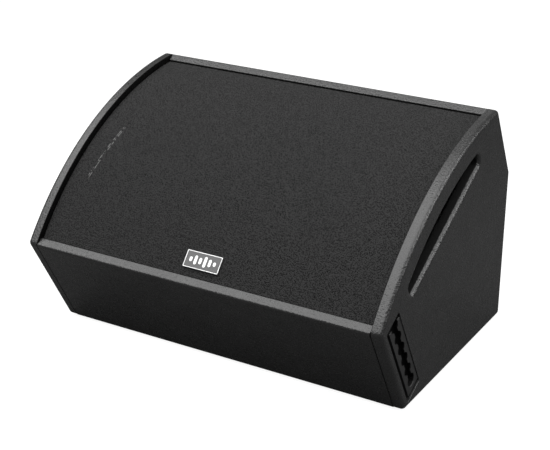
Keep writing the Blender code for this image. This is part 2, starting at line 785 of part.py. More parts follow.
def port_tubes():
    """Two tubes with a flared mouth and a flange on the baffle."""
    outer = PORT_RADIUS + PORT_WALL
    flare = 5 * MM
    profile = [
        (PORT_RADIUS + flare, 3 * MM),
        (PORT_FLANGE, 3 * MM),
        (PORT_FLANGE, GAP),
        (outer, GAP),
        (outer, 3 * MM - PORT_LENGTH),
        (PORT_RADIUS, 3 * MM - PORT_LENGTH),
        (PORT_RADIUS, 3 * MM - 2.2 * flare),
        (PORT_RADIUS + 0.3 * flare, 3 * MM - flare),
    ]
    for name, u in PORT_U.items():
        tube = turned("port_tube_" + name, profile, SMALL_STEPS)
        place(tube, PLASTIC, sloping_front, (HORN[0], u, BAFFLE_V))


# ---------------------------------------------------------------- woofer

def woofer_basket():
    """A cast frame: a flange, a sloping wall with six windows, and a shelf for the magnet."""
    wall = 3 * MM
    shelf_radius = 96 * MM
    ledge = (80 * MM, 90 * MM)
    profile = [
        (FLANGE_RADIUS - 15 * MM, 6 * MM),
        (FLANGE_RADIUS, 6 * MM),
        (FLANGE_RADIUS, GAP),
        (WOOFER_HOLE - 1.5 * MM, GAP),
        (WOOFER_HOLE - 1.5 * MM, -4 * MM),
        (shelf_radius + wall, -SHELF_DEPTH),
        (shelf_radius + wall, -SHELF_DEPTH - wall),
        (64 * MM, -SHELF_DEPTH - wall),
        (64 * MM, -SHELF_DEPTH),
        (ledge[0], -SHELF_DEPTH),
        (ledge[0], -SHELF_DEPTH + 9 * MM),
        (ledge[1], -SHELF_DEPTH + 9 * MM),
        (shelf_radius, -SHELF_DEPTH),
        (WOOFER_HOLE - 5 * MM, -4 * MM),
    ]
    basket = turned_mesh("woofer_basket", profile)
    for number in range(6):
        turn = math.radians(60 * number + 30)
        window = box(f"basket_window_{number}", (70 * MM, 74 * MM, 30 * MM))
        place_at = (122 * MM * math.cos(turn), 122 * MM * math.sin(turn), -34 * MM)
        make_cutter(window, woofer_axis, place_at, (0, 0, turn))
        cut(basket, window)
    place(smooth(basket), CAST, woofer_axis)


def woofer_motor():
    """Top plate, ring magnet, and back plate with its vented pole."""
    top = -SHELF_DEPTH - 3 * MM - GAP
    plate = [
        (MAGNET_GAP_RADIUS, top),
        (PLATE_RADIUS, top),
        (PLATE_RADIUS, top - TOP_PLATE),
        (MAGNET_GAP_RADIUS, top - TOP_PLATE),
    ]
    place(turned("woofer_top_plate", plate), STEEL, woofer_axis)
    top_magnet = top - TOP_PLATE - GAP
    ring = [
        (50 * MM, top_magnet),
        (MAGNET_RADIUS, top_magnet),
        (MAGNET_RADIUS, top_magnet - MAGNET),
        (50 * MM, top_magnet - MAGNET),
    ]
    place(turned("woofer_magnet", ring), FERRITE, woofer_axis)
    top_back = top_magnet - MAGNET - GAP
    vent = 14 * MM
    yoke = [
        (vent, top),
        (POLE_RADIUS, top),
        (POLE_RADIUS, top_back),
        (PLATE_RADIUS, top_back),
        (PLATE_RADIUS, top_back - BACK_PLATE),
        (vent, top_back - BACK_PLATE),
    ]
    place(turned("woofer_back_plate", yoke), STEEL, woofer_axis)


def cone_curve(share):
    """(radius, height) of the cone's front surface, from the voice coil at 0 to the rim at 1."""
    radius = COIL_RADII[1] + 0.6 * MM + (CONE_RADIUS - COIL_RADII[1]) * share
    return radius, -CONE_DEPTH + (CONE_DEPTH - 1 * MM) * share**1.25


def woofer_moving_parts():
    """Cone, dust cap and voice coil, which slide together along the woofer's axis."""
    thick = 1.2 * MM
    front = [cone_curve(k / 4) for k in range(5)]
    behind = [(r, h - thick) for r, h in reversed(front)]
    place(turned("woofer_cone", front + behind), PAPER, woofer_axis)
    base_radius, base_height = cone_curve(0.16)
    dome = []
    for k in range(5):
        angle = math.pi / 2 * k / 4
        dome.append((base_radius * math.sin(angle), base_height + 14 * MM * math.cos(angle)))
    lift = 0.6 * MM
    outer = [(r, h + lift) for r, h in dome]
    inner = [(r - thick * r / base_radius, h + lift - thick * 0.95) for r, h in reversed(dome)]
    inner[0] = (base_radius - thick, base_height + lift)
    place(turned("dust_cap", outer + inner, SMALL_STEPS, False), PAPER, woofer_axis)
    low = -SHELF_DEPTH - 3 * MM - TOP_PLATE - 8 * MM
    tube = [
        (COIL_RADII[0], -CONE_DEPTH - 1.5 * MM),
        (COIL_RADII[1], -CONE_DEPTH - 1.5 * MM),
        (COIL_RADII[1], low),
        (COIL_RADII[0], low),
    ]
    place(turned("voice_coil", tube), COPPER, woofer_axis)


def woofer_soft_parts():
    """The surround between cone and flange, and the corrugated spider behind the cone."""
    thick = 1.2 * MM
    inner = CONE_RADIUS + 2 * MM
    outer = WOOFER_HOLE - 2 * MM
    base = 6 * MM + GAP
    front = [(inner, base - 5 * MM)]
    middle = (inner + outer) / 2
    roll = (outer - inner) / 2
    for k in range(5):
        angle = math.pi - math.pi * k / 4
        front.append((middle + roll * math.cos(angle), base + thick + roll * math.sin(angle) * 0.6))
    front.append((outer + 6 * MM, base + thick))
    behind = [(outer + 6 * MM, base)]
    for k in range(5):
        angle = math.pi * k / 4
        reach = roll - thick
        behind.append((middle + reach * math.cos(angle), base + reach * math.sin(angle) * 0.6))
    behind.append((inner + thick, base - 5 * MM))
    place(turned("woofer_surround", front + behind), RUBBER, woofer_axis)
    start = COIL_RADII[1] + 0.8 * MM
    end = 89 * MM
    height = -SHELF_DEPTH + 9 * MM + GAP
    count = 8
    waves = []
    for k in range(count + 1):
        radius = start + (end - start) * k / count
        wave = 1.2 * MM * (k % 2) * (k < count - 1)
        waves.append((radius, height + 1.6 * MM + wave))
    under = [(r, h - 1.6 * MM) for r, h in reversed(waves)]
    place(turned("woofer_spider", waves + under, SMALL_STEPS), CLOTH, woofer_axis)


# ---------------------------------------------------------------- horn and its driver

def section_points(half_x, half_u, power, height, count=24):
    """A closed section between an ellipse (power 2) and a rounded rectangle (a higher power)."""
    points = []
    for k in range(count):
        angle = 2 * math.pi * k / count
        x = math.copysign(abs(math.cos(angle)) ** (2 / power), math.cos(angle))
        u = math.copysign(abs(math.sin(angle)) ** (2 / power), math.sin(angle))
        points.append((half_x * x, half_u * u, height))
    return points


def horn():
    """A flange and a flare that changes from a wide mouth to a round throat."""
    throat = 12.7 * MM
    depth = 92 * MM
    mouth = (80 * MM, 72 * MM)
    sections = [
        section_points(100 * MM, 100 * MM, 12, 4 * MM),
        section_points(mouth[0] + 4 * MM, mouth[1] + 4 * MM, 8, 4 * MM),
    ]
    steps = 5
    for k in range(steps + 1):
        share = k / steps
        grow = (1 - share) ** 1.7
        half_x = throat + (mouth[0] - throat) * grow
        half_u = throat + (mouth[1] - throat) * grow
        sections.append(section_points(half_x, half_u, 2 + 6 * (1 - share), -depth * share))
    sections.append(section_points(30 * MM, 30 * MM, 2, -depth - 1 * MM))
    flare = loft("horn", sections)
    solid = flare.modifiers.new("wall", "SOLIDIFY")
    solid.thickness = 3 * MM
    solid.offset = 1
    place(smooth(flare), PLASTIC, horn_axis)
    return depth


def compression_driver(depth):
    """A magnet housing with a throat, a thin domed diaphragm, and a rear cap over it."""
    top = -depth - 4.6 * MM
    low = top - 30 * MM
    housing = [
        (12.7 * MM, top),
        (34 * MM, top),
        (44 * MM, top - 6 * MM),
        (44 * MM, low),
        (24 * MM, low),
        (12.7 * MM, low + 14 * MM),
    ]
    place(turned("horn_driver_magnet", housing, SMALL_STEPS), FERRITE, horn_axis)
    rim = low - GAP
    thin = 0.8 * MM
    dome = [(0, rim + 7 * MM), (12 * MM, rim + 5 * MM), (21 * MM, rim), (32 * MM, rim)]
    under = [(32 * MM, rim - thin), (20.6 * MM, rim - thin), (12 * MM, rim + 5 * MM - thin)]
    under.append((0, rim + 7 * MM - thin))
    place(turned("horn_driver_diaphragm", dome + under, SMALL_STEPS, False), STEEL, horn_axis)
    lid = rim - thin - GAP
    cap = [
        (0, lid - 9 * MM),
        (26 * MM, lid - 9 * MM),
        (30 * MM, lid),
        (33 * MM, lid),
        (33 * MM, rim),
        (43 * MM, rim),
        (43 * MM, lid - 3 * MM),
        (36 * MM, lid - 12 * MM),
        (0, lid - 12 * MM),
    ]
    place(turned("horn_driver_cap", cap, SMALL_STEPS, False), PLASTIC, horn_axis)


# ---------------------------------------------------------------- crossover and wadding

def crossover():
    """A board on the bottom panel, with two air coils and two capacitors."""
    floor = BOARD + GAP
    x, y = CROSSOVER
    size = CROSSOVER_BOARD
    board = box("crossover_board", size, (0, 0, size[2] / 2))
    place(board, HARDBOARD, cabinet_frame, (x, y, floor))
    top = floor + size[2] + GAP

    def coil(name, radii, height, at, rotation=(0, 0, 0), lift=0.0):
        profile = [(radii[0], height), (radii[1], height), (radii[1], 0), (radii[0], 0)]
        where = (x + at[0], y + at[1], top + lift)
        place(turned(name, profile, SMALL_STEPS), COPPER, cabinet_frame, where, rotation)

    coil("inductor_large", (13 * MM, 31 * MM), 24 * MM, (-48 * MM, 22 * MM))
    small = 19 * MM
    standing = (0, math.pi / 2, 0)
    coil("inductor_small", (9 * MM, small), 15 * MM, (12 * MM, 32 * MM), standing, small + GAP)
    lying = (0, math.pi / 2, 0)
    for number in range(2):
        radius = (13 - 3 * number) * MM
        length = (48 - 10 * number) * MM
        can = rod(f"capacitor_{number + 1}", radius, length, 16)
        bevel(can, 1 * MM, 1)
        at = (x - 70 * MM + 65 * number * MM, y - 34 * MM, top + radius)
        place(smooth(can), PLASTIC, cabinet_frame, at, lying)


def wadding():
    """Two pads of soft wadding against the back panel, beside the connector dish."""
    thick = 26 * MM
    back = BACK_Y - BOARD - GAP
    low = BOARD + 6 * MM
    high = 205 * MM
    spans = {"left": (-INNER + 3 * MM, -66 * MM), "right": (76 * MM, INNER - 3 * MM)}
    for name, (start, end) in spans.items():
        size = (end - start, thick, high - low)
        pad = box("damping_pad_" + name, size)
        bevel(pad, 8 * MM, 2)
        at = ((start + end) / 2, back - thick / 2, (low + high) / 2)
        place(pad, WADDING, cabinet_frame, at)


# ---------------------------------------------------------------- connector dish

def dish_screw_places():
    x, z = DISH_SCREW_AT
    return [(sx * x, sz * z) for sz in (1, -1) for sx in (-1, 1)]


def connector_dish():
    """A recessed plastic dish in the back panel. Local Z points out of the back."""
    half = Vector(DISH_FLANGE) / 2
    flange = outline_mesh("connector_dish", [rectangle(-half, half, 6 * MM)], DISH_FLANGE_THICK)
    shift = GAP + DISH_FLANGE_THICK / 2
    flange.data.transform(Matrix.Translation((0, 0, shift)))
    inner = Vector(DISH_CUP) / 2
    outer = inner + Vector((DISH_WALL,) * 2)
    cup_low = -DISH_DEPTH - DISH_WALL
    cup_high = GAP + DISH_FLANGE_THICK / 2
    cup = outline_mesh("dish_cup", [rectangle(-outer, outer, 6 * MM)], cup_high - cup_low)
    make_cutter(cup, back_face, (0, 0, (cup_low + cup_high) / 2))
    hollow = outline_mesh("dish_hollow", [rectangle(-inner, inner, 4 * MM)], DISH_DEPTH + 10 * MM)
    make_cutter(hollow, back_face, (0, 0, -DISH_DEPTH + (DISH_DEPTH + 10 * MM) / 2))
    join(flange, cup)
    cut(flange, hollow)
    for name, x in socket_places().items():
        hole = rod(f"{name}_hole", SOCKET_RADIUS - 0.7 * MM, 10 * MM, SMALL_STEPS)
        make_cutter(hole, back_face, (x, 0, -DISH_DEPTH - 6 * MM))
        cut(flange, hole)
    for number, (x, z) in enumerate(dish_screw_places()):
        hole = rod(f"dish_screw_hole_{number}", 2 * MM, 8 * MM, SCREW_STEPS)
        make_cutter(hole, back_face, (x, z, -2 * MM))
        cut(flange, hole)
    place(flange, PLASTIC, back_face)
    for number, (x, z) in enumerate(dish_screw_places(), 1):
        sizes = (*SCREW_HEAD, SCREW_SHANK, DISH_SCREW_LENGTH)
        screw = headed_screw(f"dish_screw_{number}", *sizes)
        head_at = GAP + DISH_FLANGE_THICK + GAP
        place(screw, STEEL, back_face, (x, z, head_at))


def socket_places():
    return {"socket_input": -SOCKET_X, "socket_link": SOCKET_X}


def sockets():
    """Two 4-pole loudspeaker sockets: a collar, a ring-shaped well and the post inside it."""
    front = -DISH_DEPTH + GAP
    rim = front + 2.5 * MM
    tail = front - 24 * MM
    well = rim - 16 * MM
    body = SOCKET_RADIUS - 1.2 * MM
    post = 6 * MM
    well_radius = 11 * MM
    profile = [
        (0, rim - 1 * MM),
        (post, rim - 1 * MM),
        (post, well),
        (well_radius, well),
        (well_radius, rim),
        (SOCKET_RADIUS + 2 * MM, rim),
        (SOCKET_RADIUS + 2 * MM, front),
        (body, front),
        (body, tail),
        (0, tail),
    ]
    for name, x in socket_places().items():
        place(turned(name, profile, SMALL_STEPS, False), PLASTIC, back_face, (x, 0, 0))


# ---------------------------------------------------------------- the whole object

side_panel("side_panel_right", 1)
side_panel("side_panel_left", -1)
kick_panel()
rear_slope_panel()
bottom_panel()
back_panel()
brace()
feet()
fly_track(1)
fly_track(-1)
grille()
badge()
baffle()
port_tubes()
woofer_basket()
woofer_motor()
woofer_moving_parts()
woofer_soft_parts()
compression_driver(horn())
crossover()
wadding()
connector_dish()
sockets()
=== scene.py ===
"""The looks of a stage monitor wedge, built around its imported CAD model.

It runs in Blender 4.5, in metres, in the frame of the CAD model: +Z up, +X the cabinet's width, the
grille facing -Y and up. Most pieces are drawn on the slope, whose axes are x, u up the straight
line between the two ends of the curved front, and v out of the cabinet.
"""

import math

import bmesh
import bpy
from mathutils import Matrix, Vector, noise


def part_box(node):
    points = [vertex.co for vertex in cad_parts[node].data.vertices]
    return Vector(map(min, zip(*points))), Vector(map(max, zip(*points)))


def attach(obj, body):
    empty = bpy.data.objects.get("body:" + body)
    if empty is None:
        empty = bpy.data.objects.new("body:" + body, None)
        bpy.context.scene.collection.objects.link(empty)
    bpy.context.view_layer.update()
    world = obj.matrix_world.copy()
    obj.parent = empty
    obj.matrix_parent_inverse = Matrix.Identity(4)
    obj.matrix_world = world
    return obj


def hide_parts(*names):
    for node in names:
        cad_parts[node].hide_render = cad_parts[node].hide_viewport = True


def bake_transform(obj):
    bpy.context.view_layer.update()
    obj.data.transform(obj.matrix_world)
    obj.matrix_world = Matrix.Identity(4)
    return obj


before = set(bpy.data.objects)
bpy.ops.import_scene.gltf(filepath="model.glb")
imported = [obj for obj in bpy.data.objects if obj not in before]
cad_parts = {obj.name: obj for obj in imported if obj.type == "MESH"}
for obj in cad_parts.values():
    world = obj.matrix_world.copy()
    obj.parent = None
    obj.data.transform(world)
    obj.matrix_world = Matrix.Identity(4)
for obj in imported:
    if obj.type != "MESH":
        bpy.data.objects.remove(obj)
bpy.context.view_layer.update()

MM = 0.001

# Pieces that touch keep this gap.
GAP = 0.3 * MM

# The cabinet's outline, seen from the side.
TILT = math.radians(29)
KICK = 178 * MM
CHORD = 430 * MM
REAR_SLOPE = 134 * MM
ARC_RISE = 48 * MM

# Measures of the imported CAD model.
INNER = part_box("side_panel_right")[0].x
HALF_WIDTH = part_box("side_panel_right")[1].x
BACK_LOW, BACK_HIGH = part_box("back_panel")
BOARD = BACK_HIGH.y - BACK_LOW.y
FLOOR_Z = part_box("bottom_panel")[0].z
BACK_Y = BACK_HIGH.y
SIDE = HALF_WIDTH - INNER

# Rounded edges of the cabinet.
FACE_ROUND = 7 * MM
CORNER_ROUND = 7.5 * MM
EDGE_ROUND = 3.5 * MM
JOINT_EDGE = 0.8 * MM

# The hand hole in each side panel.
HAND_LOW_FRONT = (91 * MM, -27 * MM)
HAND_LOW_REAR = (345 * MM, -26 * MM)
HAND_BELOW_ARC = 37 * MM
HAND_FRONT_ROUND = 5 * MM
HAND_REAR_ROUND = 8.5 * MM
HAND_LIP = 7 * MM

# The fly track and its pocket.
POCKET_U = (12.7 * MM, 53.3 * MM)
POCKET_V = (-176 * MM, -12.7 * MM)
POCKET_ROUND = 3 * MM
POCKET_LIP = 0.4 * MM
TRACK_WIDTH = 33.4 * MM
TRACK_MARGIN = 0.3 * MM
TRACK_ENDS = (5.2 * MM, 9.6 * MM)
TRACK_CORNER = 1.5 * MM
TRACK_PITCH = 25.4 * MM
TRACK_HOLES = 6
TRACK_FIRST_HOLE = 2.3 * MM
TRACK_HOLE_RADIUS = 10 * MM
TRACK_SLOT = 10.4 * MM
TRACK_SLOT_EDGE = 0.4 * MM
TRACK_CHANNEL = 21.4 * MM
TRACK_LIP = 2 * MM
TRACK_BASE = 1.7 * MM
TRACK_FOOT = 8.8 * MM
TRACK_BOLTS = (2, 5)
TRACK_V = (POCKET_V[0] + TRACK_ENDS[0], POCKET_V[1] - TRACK_ENDS[1])
TRACK_U = POCKET_U[1] - TRACK_MARGIN - TRACK_WIDTH / 2
TRACK_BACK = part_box("fly_track_right")[0].x
TRACK_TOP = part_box("fly_track_right")[1].x

# Grille and badge.
GRILLE_HALF = INNER - 0.6 * MM
FOAM_BELOW_ARC = 9 * MM
FOAM = 8 * MM
FOAM_EDGE = 2.2 * MM
SHEET = 1.5 * MM
SHEET_PITCH = 12 * MM
BADGE = (59 * MM, 25.5 * MM, 2.5 * MM)
BADGE_U = 40 * MM
BADGE_CORNER = 1 * MM
BADGE_RIM = 1.05 * MM
BADGE_FIELD = BADGE[2] - 0.4 * MM
BAR_REACHES = (3.6 * MM, 6.8 * MM, 4.8 * MM, 8 * MM, 5.6 * MM, 3.2 * MM)
BAR_PITCH = 8 * MM
BAR_WIDTH = 4.4 * MM

# The baffle, and what it carries, in slope coordinates and below its front face.
BAFFLE_V = -44 * MM
WOOFER = (-112 * MM, 205 * MM)
WOOFER_HOLE = 141.5 * MM
HORN = (165 * MM, 215 * MM)
HORN_HOLE = (184 * MM, 170 * MM)
HORN_DEPTH = 92 * MM
HORN_THROAT = 12.7 * MM
PORT_U = {"lower": 69 * MM, "upper": 361 * MM}
PORT_RADIUS = 30 * MM
FLANGE_RADIUS = 156 * MM
CONE_RADIUS = 121 * MM
CONE_DEPTH = 44 * MM
SHELF_DEPTH = 62 * MM
COIL_RADII = (38.3 * MM, 39.6 * MM)

# The connector dish, from the outside of the back panel.
DISH_FLANGE = (92 * MM, 72 * MM)
DISH_CUP = (78 * MM, 56 * MM)
DISH_DEPTH = 24 * MM
DISH_WALL = 2.5 * MM
DISH_FLANGE_THICK = 3 * MM
SOCKET_X = 19 * MM
SOCKET_RADIUS = 13 * MM
DISH_SCREW_AT = (42 * MM, 32 * MM)

# The curved front, and the ends of the kick panel as (y, z): A on the floor, B at the front's foot.
ARC_RADIUS = (CHORD**2 / 4 + ARC_RISE**2) / (2 * ARC_RISE)
ARC_CENTRE = Vector((CHORD / 2, ARC_RISE - ARC_RADIUS))
ALONG = Vector((math.cos(TILT), math.sin(TILT)))
OUT = Vector((-math.sin(TILT), math.cos(TILT)))
POINT_A = Vector((BACK_Y, FLOOR_Z)) - (OUT * (KICK - REAR_SLOPE) + ALONG * CHORD)
POINT_A.y = FLOOR_Z
POINT_B = POINT_A + OUT * KICK

# Places of what is drawn: on the slope, on the woofer's and the horn's axes, and on the back.
SLOPE = Matrix((
    (1, 0, 0, 0),
    (0, ALONG.x, OUT.x, POINT_B.x),
    (0, ALONG.y, OUT.y, POINT_B.y),
    (0, 0, 0, 1),
))
WOOFER_AXIS = SLOPE @ Matrix.Translation((*WOOFER, BAFFLE_V))
HORN_AXIS = SLOPE @ Matrix.Translation((*HORN, BAFFLE_V))
DISH_LOW, DISH_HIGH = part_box("connector_dish")
DISH_AT = Vector((0, BACK_Y, (DISH_LOW.z + DISH_HIGH.z) / 2))
FACING_BACK = Matrix(((-1, 0, 0, 0), (0, 0, 1, 0), (0, 1, 0, 0), (0, 0, 0, 1)))
BACK_FACE = Matrix.Translation(DISH_AT) @ FACING_BACK

# Turns a form that is lofted along x so that it is stacked along z.
STACKED = Matrix(((0, 1, 0, 0), (0, 0, 1, 0), (1, 0, 0, 0), (0, 0, 0, 1)))

# Two faint broken pale lines painted on the foam, on axes turned like the slope's. They lean: x grows with
# the height.
DASHES_U = (121 * MM, 229 * MM)
DASHES_LEAN = 10 / 108
DASHES_SHIFT = POINT_B.dot(ALONG)
DASHES_X = -251 * MM - DASHES_LEAN * (DASHES_U[0] + DASHES_SHIFT)
DASHES_MIDDLE = sum(DASHES_U) / 2 + DASHES_SHIFT
DASHES_HALF = (DASHES_U[1] - DASHES_U[0]) / 2


# ---------------------------------------------------------------- materials

def node(tree, kind, inputs=None, **settings):
    """A shader node, with its settings, and with its inputs linked or set."""
    made = tree.nodes.new(kind)
    for key, value in settings.items():
        setattr(made, key, value)
    for key, value in (inputs or {}).items():
        if isinstance(value, bpy.types.NodeSocket):
            tree.links.new(value, made.inputs[key])
        else:
            made.inputs[key].default_value = value
    return made


def new_finish(name, roughness, metallic=0.0, specular=0.5):
    """A material, its node tree, its shader and its object coordinates."""
    made = bpy.data.materials.new(name)
    made.use_nodes = True
    tree = made.node_tree
    shader = tree.nodes["Principled BSDF"]
    shader.inputs["Roughness"].default_value = roughness
    shader.inputs["Metallic"].default_value = metallic
    shader.inputs["Specular IOR Level"].default_value = specular
    place = tree.nodes.new("ShaderNodeTexCoord").outputs["Object"]
    return made, tree, shader, place


def grain(tree, place, scale, detail=3.0, rough=0.55):
    """Noise at a scale, as a value from 0 to 1."""
    inputs = {"Vector": place, "Scale": scale, "Detail": detail, "Roughness": rough}
    return node(tree, "ShaderNodeTexNoise", inputs).outputs["Fac"]


def cells(tree, place, scale, feature="SMOOTH_F1"):
    """Distance to the nearest of scattered points."""
    inputs = {"Vector": place, "Scale": scale}
    return node(tree, "ShaderNodeTexVoronoi", inputs, feature=feature).outputs["Distance"]


def spread(tree, value, low, high, new_low, new_high):
    """The value moved from one range to another, and kept inside it."""
    inputs = {"Value": value, "From Min": low, "From Max": high, "To Min": new_low, "To Max": new_high}
    return node(tree, "ShaderNodeMapRange", inputs).outputs["Result"]


def maths(tree, operation, first, second=0):
    return node(tree, "ShaderNodeMath", {0: first, 1: second}, operation=operation).outputs["Value"]


def shade(tree, value, dark, light):
    """A colour between two greys or two colours."""
    ramp = node(tree, "ShaderNodeValToRGB", {"Fac": value})
    for element, colour in zip(ramp.color_ramp.elements, (dark, light)):
        rgb = colour if isinstance(colour, tuple) else (colour,) * 3
        element.color = (*rgb, 1)
    return ramp.outputs["Color"]


def wire(tree, shader, colour=None, roughness=None, height=None, strength=0.5, distance=0.3 * MM):
    """Links a colour, a roughness and a bump height to the shader."""
    if colour is not None:
        tree.links.new(colour, shader.inputs["Base Color"])
    if roughness is not None:
        tree.links.new(roughness, shader.inputs["Roughness"])
    if height is not None:
        inputs = {"Height": height, "Strength": strength, "Distance": distance}
        bump = node(tree, "ShaderNodeBump", inputs)
        tree.links.new(bump.outputs["Normal"], shader.inputs["Normal"])


def slanted(tree, place, angle, stretch=(1, 1, 1)):
    """The coordinates turned about the cabinet's width and stretched."""
    inputs = {"Vector": place, "Rotation": (angle, 0, 0), "Scale": stretch}
    return node(tree, "ShaderNodeMapping", inputs, vector_type="TEXTURE").outputs["Vector"]


def stripes(tree, place, scale, direction="X", wobble=0.0):
    inputs = {"Vector": place, "Scale": scale, "Distortion": wobble, "Detail": 2.0}
    return node(tree, "ShaderNodeTexWave", inputs, bands_direction=direction).outputs["Fac"]


def joint_shade_and_dust(tree, place):
    """0 in the joints between the side panels and the boards that cross the cabinet, 1 elsewhere. The joints
    get painted shade with dust: a darker, duller line.
    """
    x = node(tree, "ShaderNodeSeparateXYZ", {"Vector": place}).outputs["X"]
    off_joint = maths(tree, "SUBTRACT", maths(tree, "ABSOLUTE", x), INNER - GAP / 2)
    return spread(tree, maths(tree, "ABSOLUTE", off_joint), 0.6 * MM, 1.2 * MM, 0, 1)


def textured_paint():
    """Black cabinet paint, rolled on thick: a glossy skin of pebbles and ripples, with painted shade and
    dust in the joints, darker and duller there.
    """
    made, tree, shader, place = new_finish("textured_paint", 0.3)
    pebbles = cells(tree, place, 460)
    ripples = grain(tree, place, 430, 2)
    height = maths(tree, "ADD", pebbles, maths(tree, "MULTIPLY", ripples, 1.7))
    blotches = spread(tree, grain(tree, place, 30, 4), 0.3, 0.7, 0.62, 1)
    # Painted shade and dust in the joints: the colour darkens there.
    outside_joint_shade = joint_shade_and_dust(tree, place)
    colour = shade(tree, maths(tree, "MULTIPLY", blotches, outside_joint_shade), 0.003, 0.019)
    roughness = spread(tree, grain(tree, place, 150, 4), 0.3, 0.7, 0.24, 0.34)
    wire(tree, shader, colour, roughness, height, 0.9, 0.42 * MM)
    # The painted joint shade also takes most of the gloss away.
    gloss = spread(tree, outside_joint_shade, 0, 1, 0.1, 0.5)
    tree.links.new(gloss, shader.inputs["Specular IOR Level"])
    return made


def pale_dashes(tree, place):
    """Two faint broken pale lines side by side, running up the left of the foam."""
    apart = node(tree, "ShaderNodeSeparateXYZ", {"Vector": slanted(tree, place, TILT)}).outputs
    lean = maths(tree, "MULTIPLY", apart["Y"], DASHES_LEAN)
    across = maths(tree, "SUBTRACT", maths(tree, "SUBTRACT", apart["X"], lean), DASHES_X)
    from_middle = maths(tree, "ABSOLUTE", across)
    from_line = maths(tree, "ABSOLUTE", maths(tree, "SUBTRACT", from_middle, 1.4 * MM))
    line = spread(tree, from_line, 0.3 * MM, 0.9 * MM, 1, 0)
    along = maths(tree, "ABSOLUTE", maths(tree, "SUBTRACT", apart["Y"], DASHES_MIDDLE))
    inside = spread(tree, along, DASHES_HALF - 8 * MM, DASHES_HALF, 1, 0)
    broken = spread(tree, grain(tree, place, 210, 1), 0.47, 0.55, 0, 1)
    return maths(tree, "MULTIPLY", maths(tree, "MULTIPLY", line, inside), broken)


def open_cell_foam():
    """Dark grey foam: a net of small open cells, with two faint broken pale lines on it."""
    made, tree, shader, place = new_finish("grille_foam", 1.0, specular=0.2)
    pores = cells(tree, place, 520, "F1")
    fibres = grain(tree, place, 520, 2)
    mixed = maths(tree, "ADD", pores, fibres)
    # The two pale broken lines lighten the foam's colour.
    dashed = maths(tree, "MULTIPLY", pale_dashes(tree, place), 0.6)
    pale = maths(tree, "ADD", spread(tree, mixed, 0.7, 1.1, 0, 0.1), dashed)
    wire(tree, shader, shade(tree, pale, 0.0003, 0.2), None, mixed, 1.0, 0.8 * MM)
    return made


def hollow_shade_black():
    """Painted shade: a matt black put on the walls of the hand holes and inside the track channels, where
    shade falls.
    """
    made, tree, shader, place = new_finish("hollow_shade_black", 0.8, specular=0.15)
    colour = shade(tree, grain(tree, place, 200, 3), 0.002, 0.008)
    wire(tree, shader, colour, None, grain(tree, place, 500, 2), 0.4, 0.2 * MM)
    return made


def anodised_track():
    """Dark grey extrusion, with faint lines along its length."""
    made, tree, shader, place = new_finish("anodised_track", 0.42)
    colour = shade(tree, grain(tree, place, 300, 3), 0.012, 0.02)
    roughness = spread(tree, grain(tree, place, 120, 4), 0.3, 0.7, 0.36, 0.5)
    wire(tree, shader, colour, roughness, grain(tree, place, 1200, 2), 0.15, 0.1 * MM)
    return made


def speckled(name, dark, light, scale, rough, metallic=0.0, strength=0.3, depth=0.15 * MM):
    """A finish whose colour, roughness and surface all vary a little with the same grain."""
    made, tree, shader, place = new_finish(name, rough, metallic)
    speckle = spread(tree, grain(tree, place, scale, 4), 0.3, 0.7, 0, 1)
    wear = spread(tree, grain(tree, place, scale / 8, 3), 0.3, 0.7, rough - 0.06, rough + 0.08)
    wire(tree, shader, shade(tree, speckle, dark, light), wear, speckle, strength, depth)
    return made


def powder_coated_steel():
    return speckled("powder_coated_steel", 0.012, 0.02, 900, 0.5, 0.1, 0.4)


def zinc_plated_steel():
    return speckled("zinc_plated_steel", (0.5, 0.5, 0.48), (0.72, 0.72, 0.7), 260, 0.3, 1.0, 0.12)


def contact_brass():
    return speckled("contact_brass", (0.6, 0.45, 0.2), (0.8, 0.62, 0.3), 400, 0.25, 1.0, 0.1)


def cast_basket():
    return speckled("cast_basket", 0.02, 0.035, 500, 0.55, 0.0, 0.5, 0.2 * MM)


def ferrite():
    return speckled("ferrite", 0.03, 0.055, 700, 0.6, 0.0, 0.35)


def moulded_plastic():
    return speckled("moulded_plastic", 0.012, 0.018, 1400, 0.45, 0.0, 0.35, 0.1 * MM)


def rubber():
    return speckled("rubber", 0.014, 0.024, 800, 0.8, 0.0, 0.3)


def paper_cone():
    """Pressed pulp, with short fibres showing in its black."""
    made, tree, shader, place = new_finish("paper_cone", 0.85)
    fibres = cells(tree, place, 500, "F1")
    colour = shade(tree, spread(tree, fibres, 0.1, 0.8, 0, 1), 0.035, 0.014)
    wire(tree, shader, colour, None, fibres, 0.5, 0.2 * MM)
    return made


def birch_plywood():
    """Pale veneer with its grain along the width, and its plies on the cut edges."""
    made, tree, shader, place = new_finish("birch_plywood", 0.6)
    lines = grain(tree, slanted(tree, place, TILT, (8, 0.5, 1)), 170, 5, 0.65)
    plies = stripes(tree, slanted(tree, place, TILT), 115, "Z")
    veneer = shade(tree, spread(tree, lines, 0.3, 0.7, 0, 1), (0.36, 0.24, 0.13), (0.56, 0.42, 0.27))
    # Inputs 6 and 7 are the two colours that it mixes, and output 2 is the colour that it gives.
    inputs = {0: spread(tree, plies, 0.2, 0.8, 0.0, 0.3), 6: veneer, 7: (0.22, 0.12, 0.06, 1)}
    colour = node(tree, "ShaderNodeMix", inputs, data_type="RGBA").outputs[2]
    wire(tree, shader, colour, spread(tree, lines, 0.3, 0.7, 0.5, 0.7), lines, 0.3, 0.2 * MM)
    return made


def woven(name, dark, light, pitch, rough):
    """Two sets of threads that cross."""
    made, tree, shader, place = new_finish(name, rough)
    scale = 0.314 / pitch
    weave = maths(tree, "MULTIPLY", stripes(tree, place, scale), stripes(tree, place, scale, "Y"))
    wire(tree, shader, shade(tree, weave, dark, light), None, weave, 0.5, 0.15 * MM)
    return made


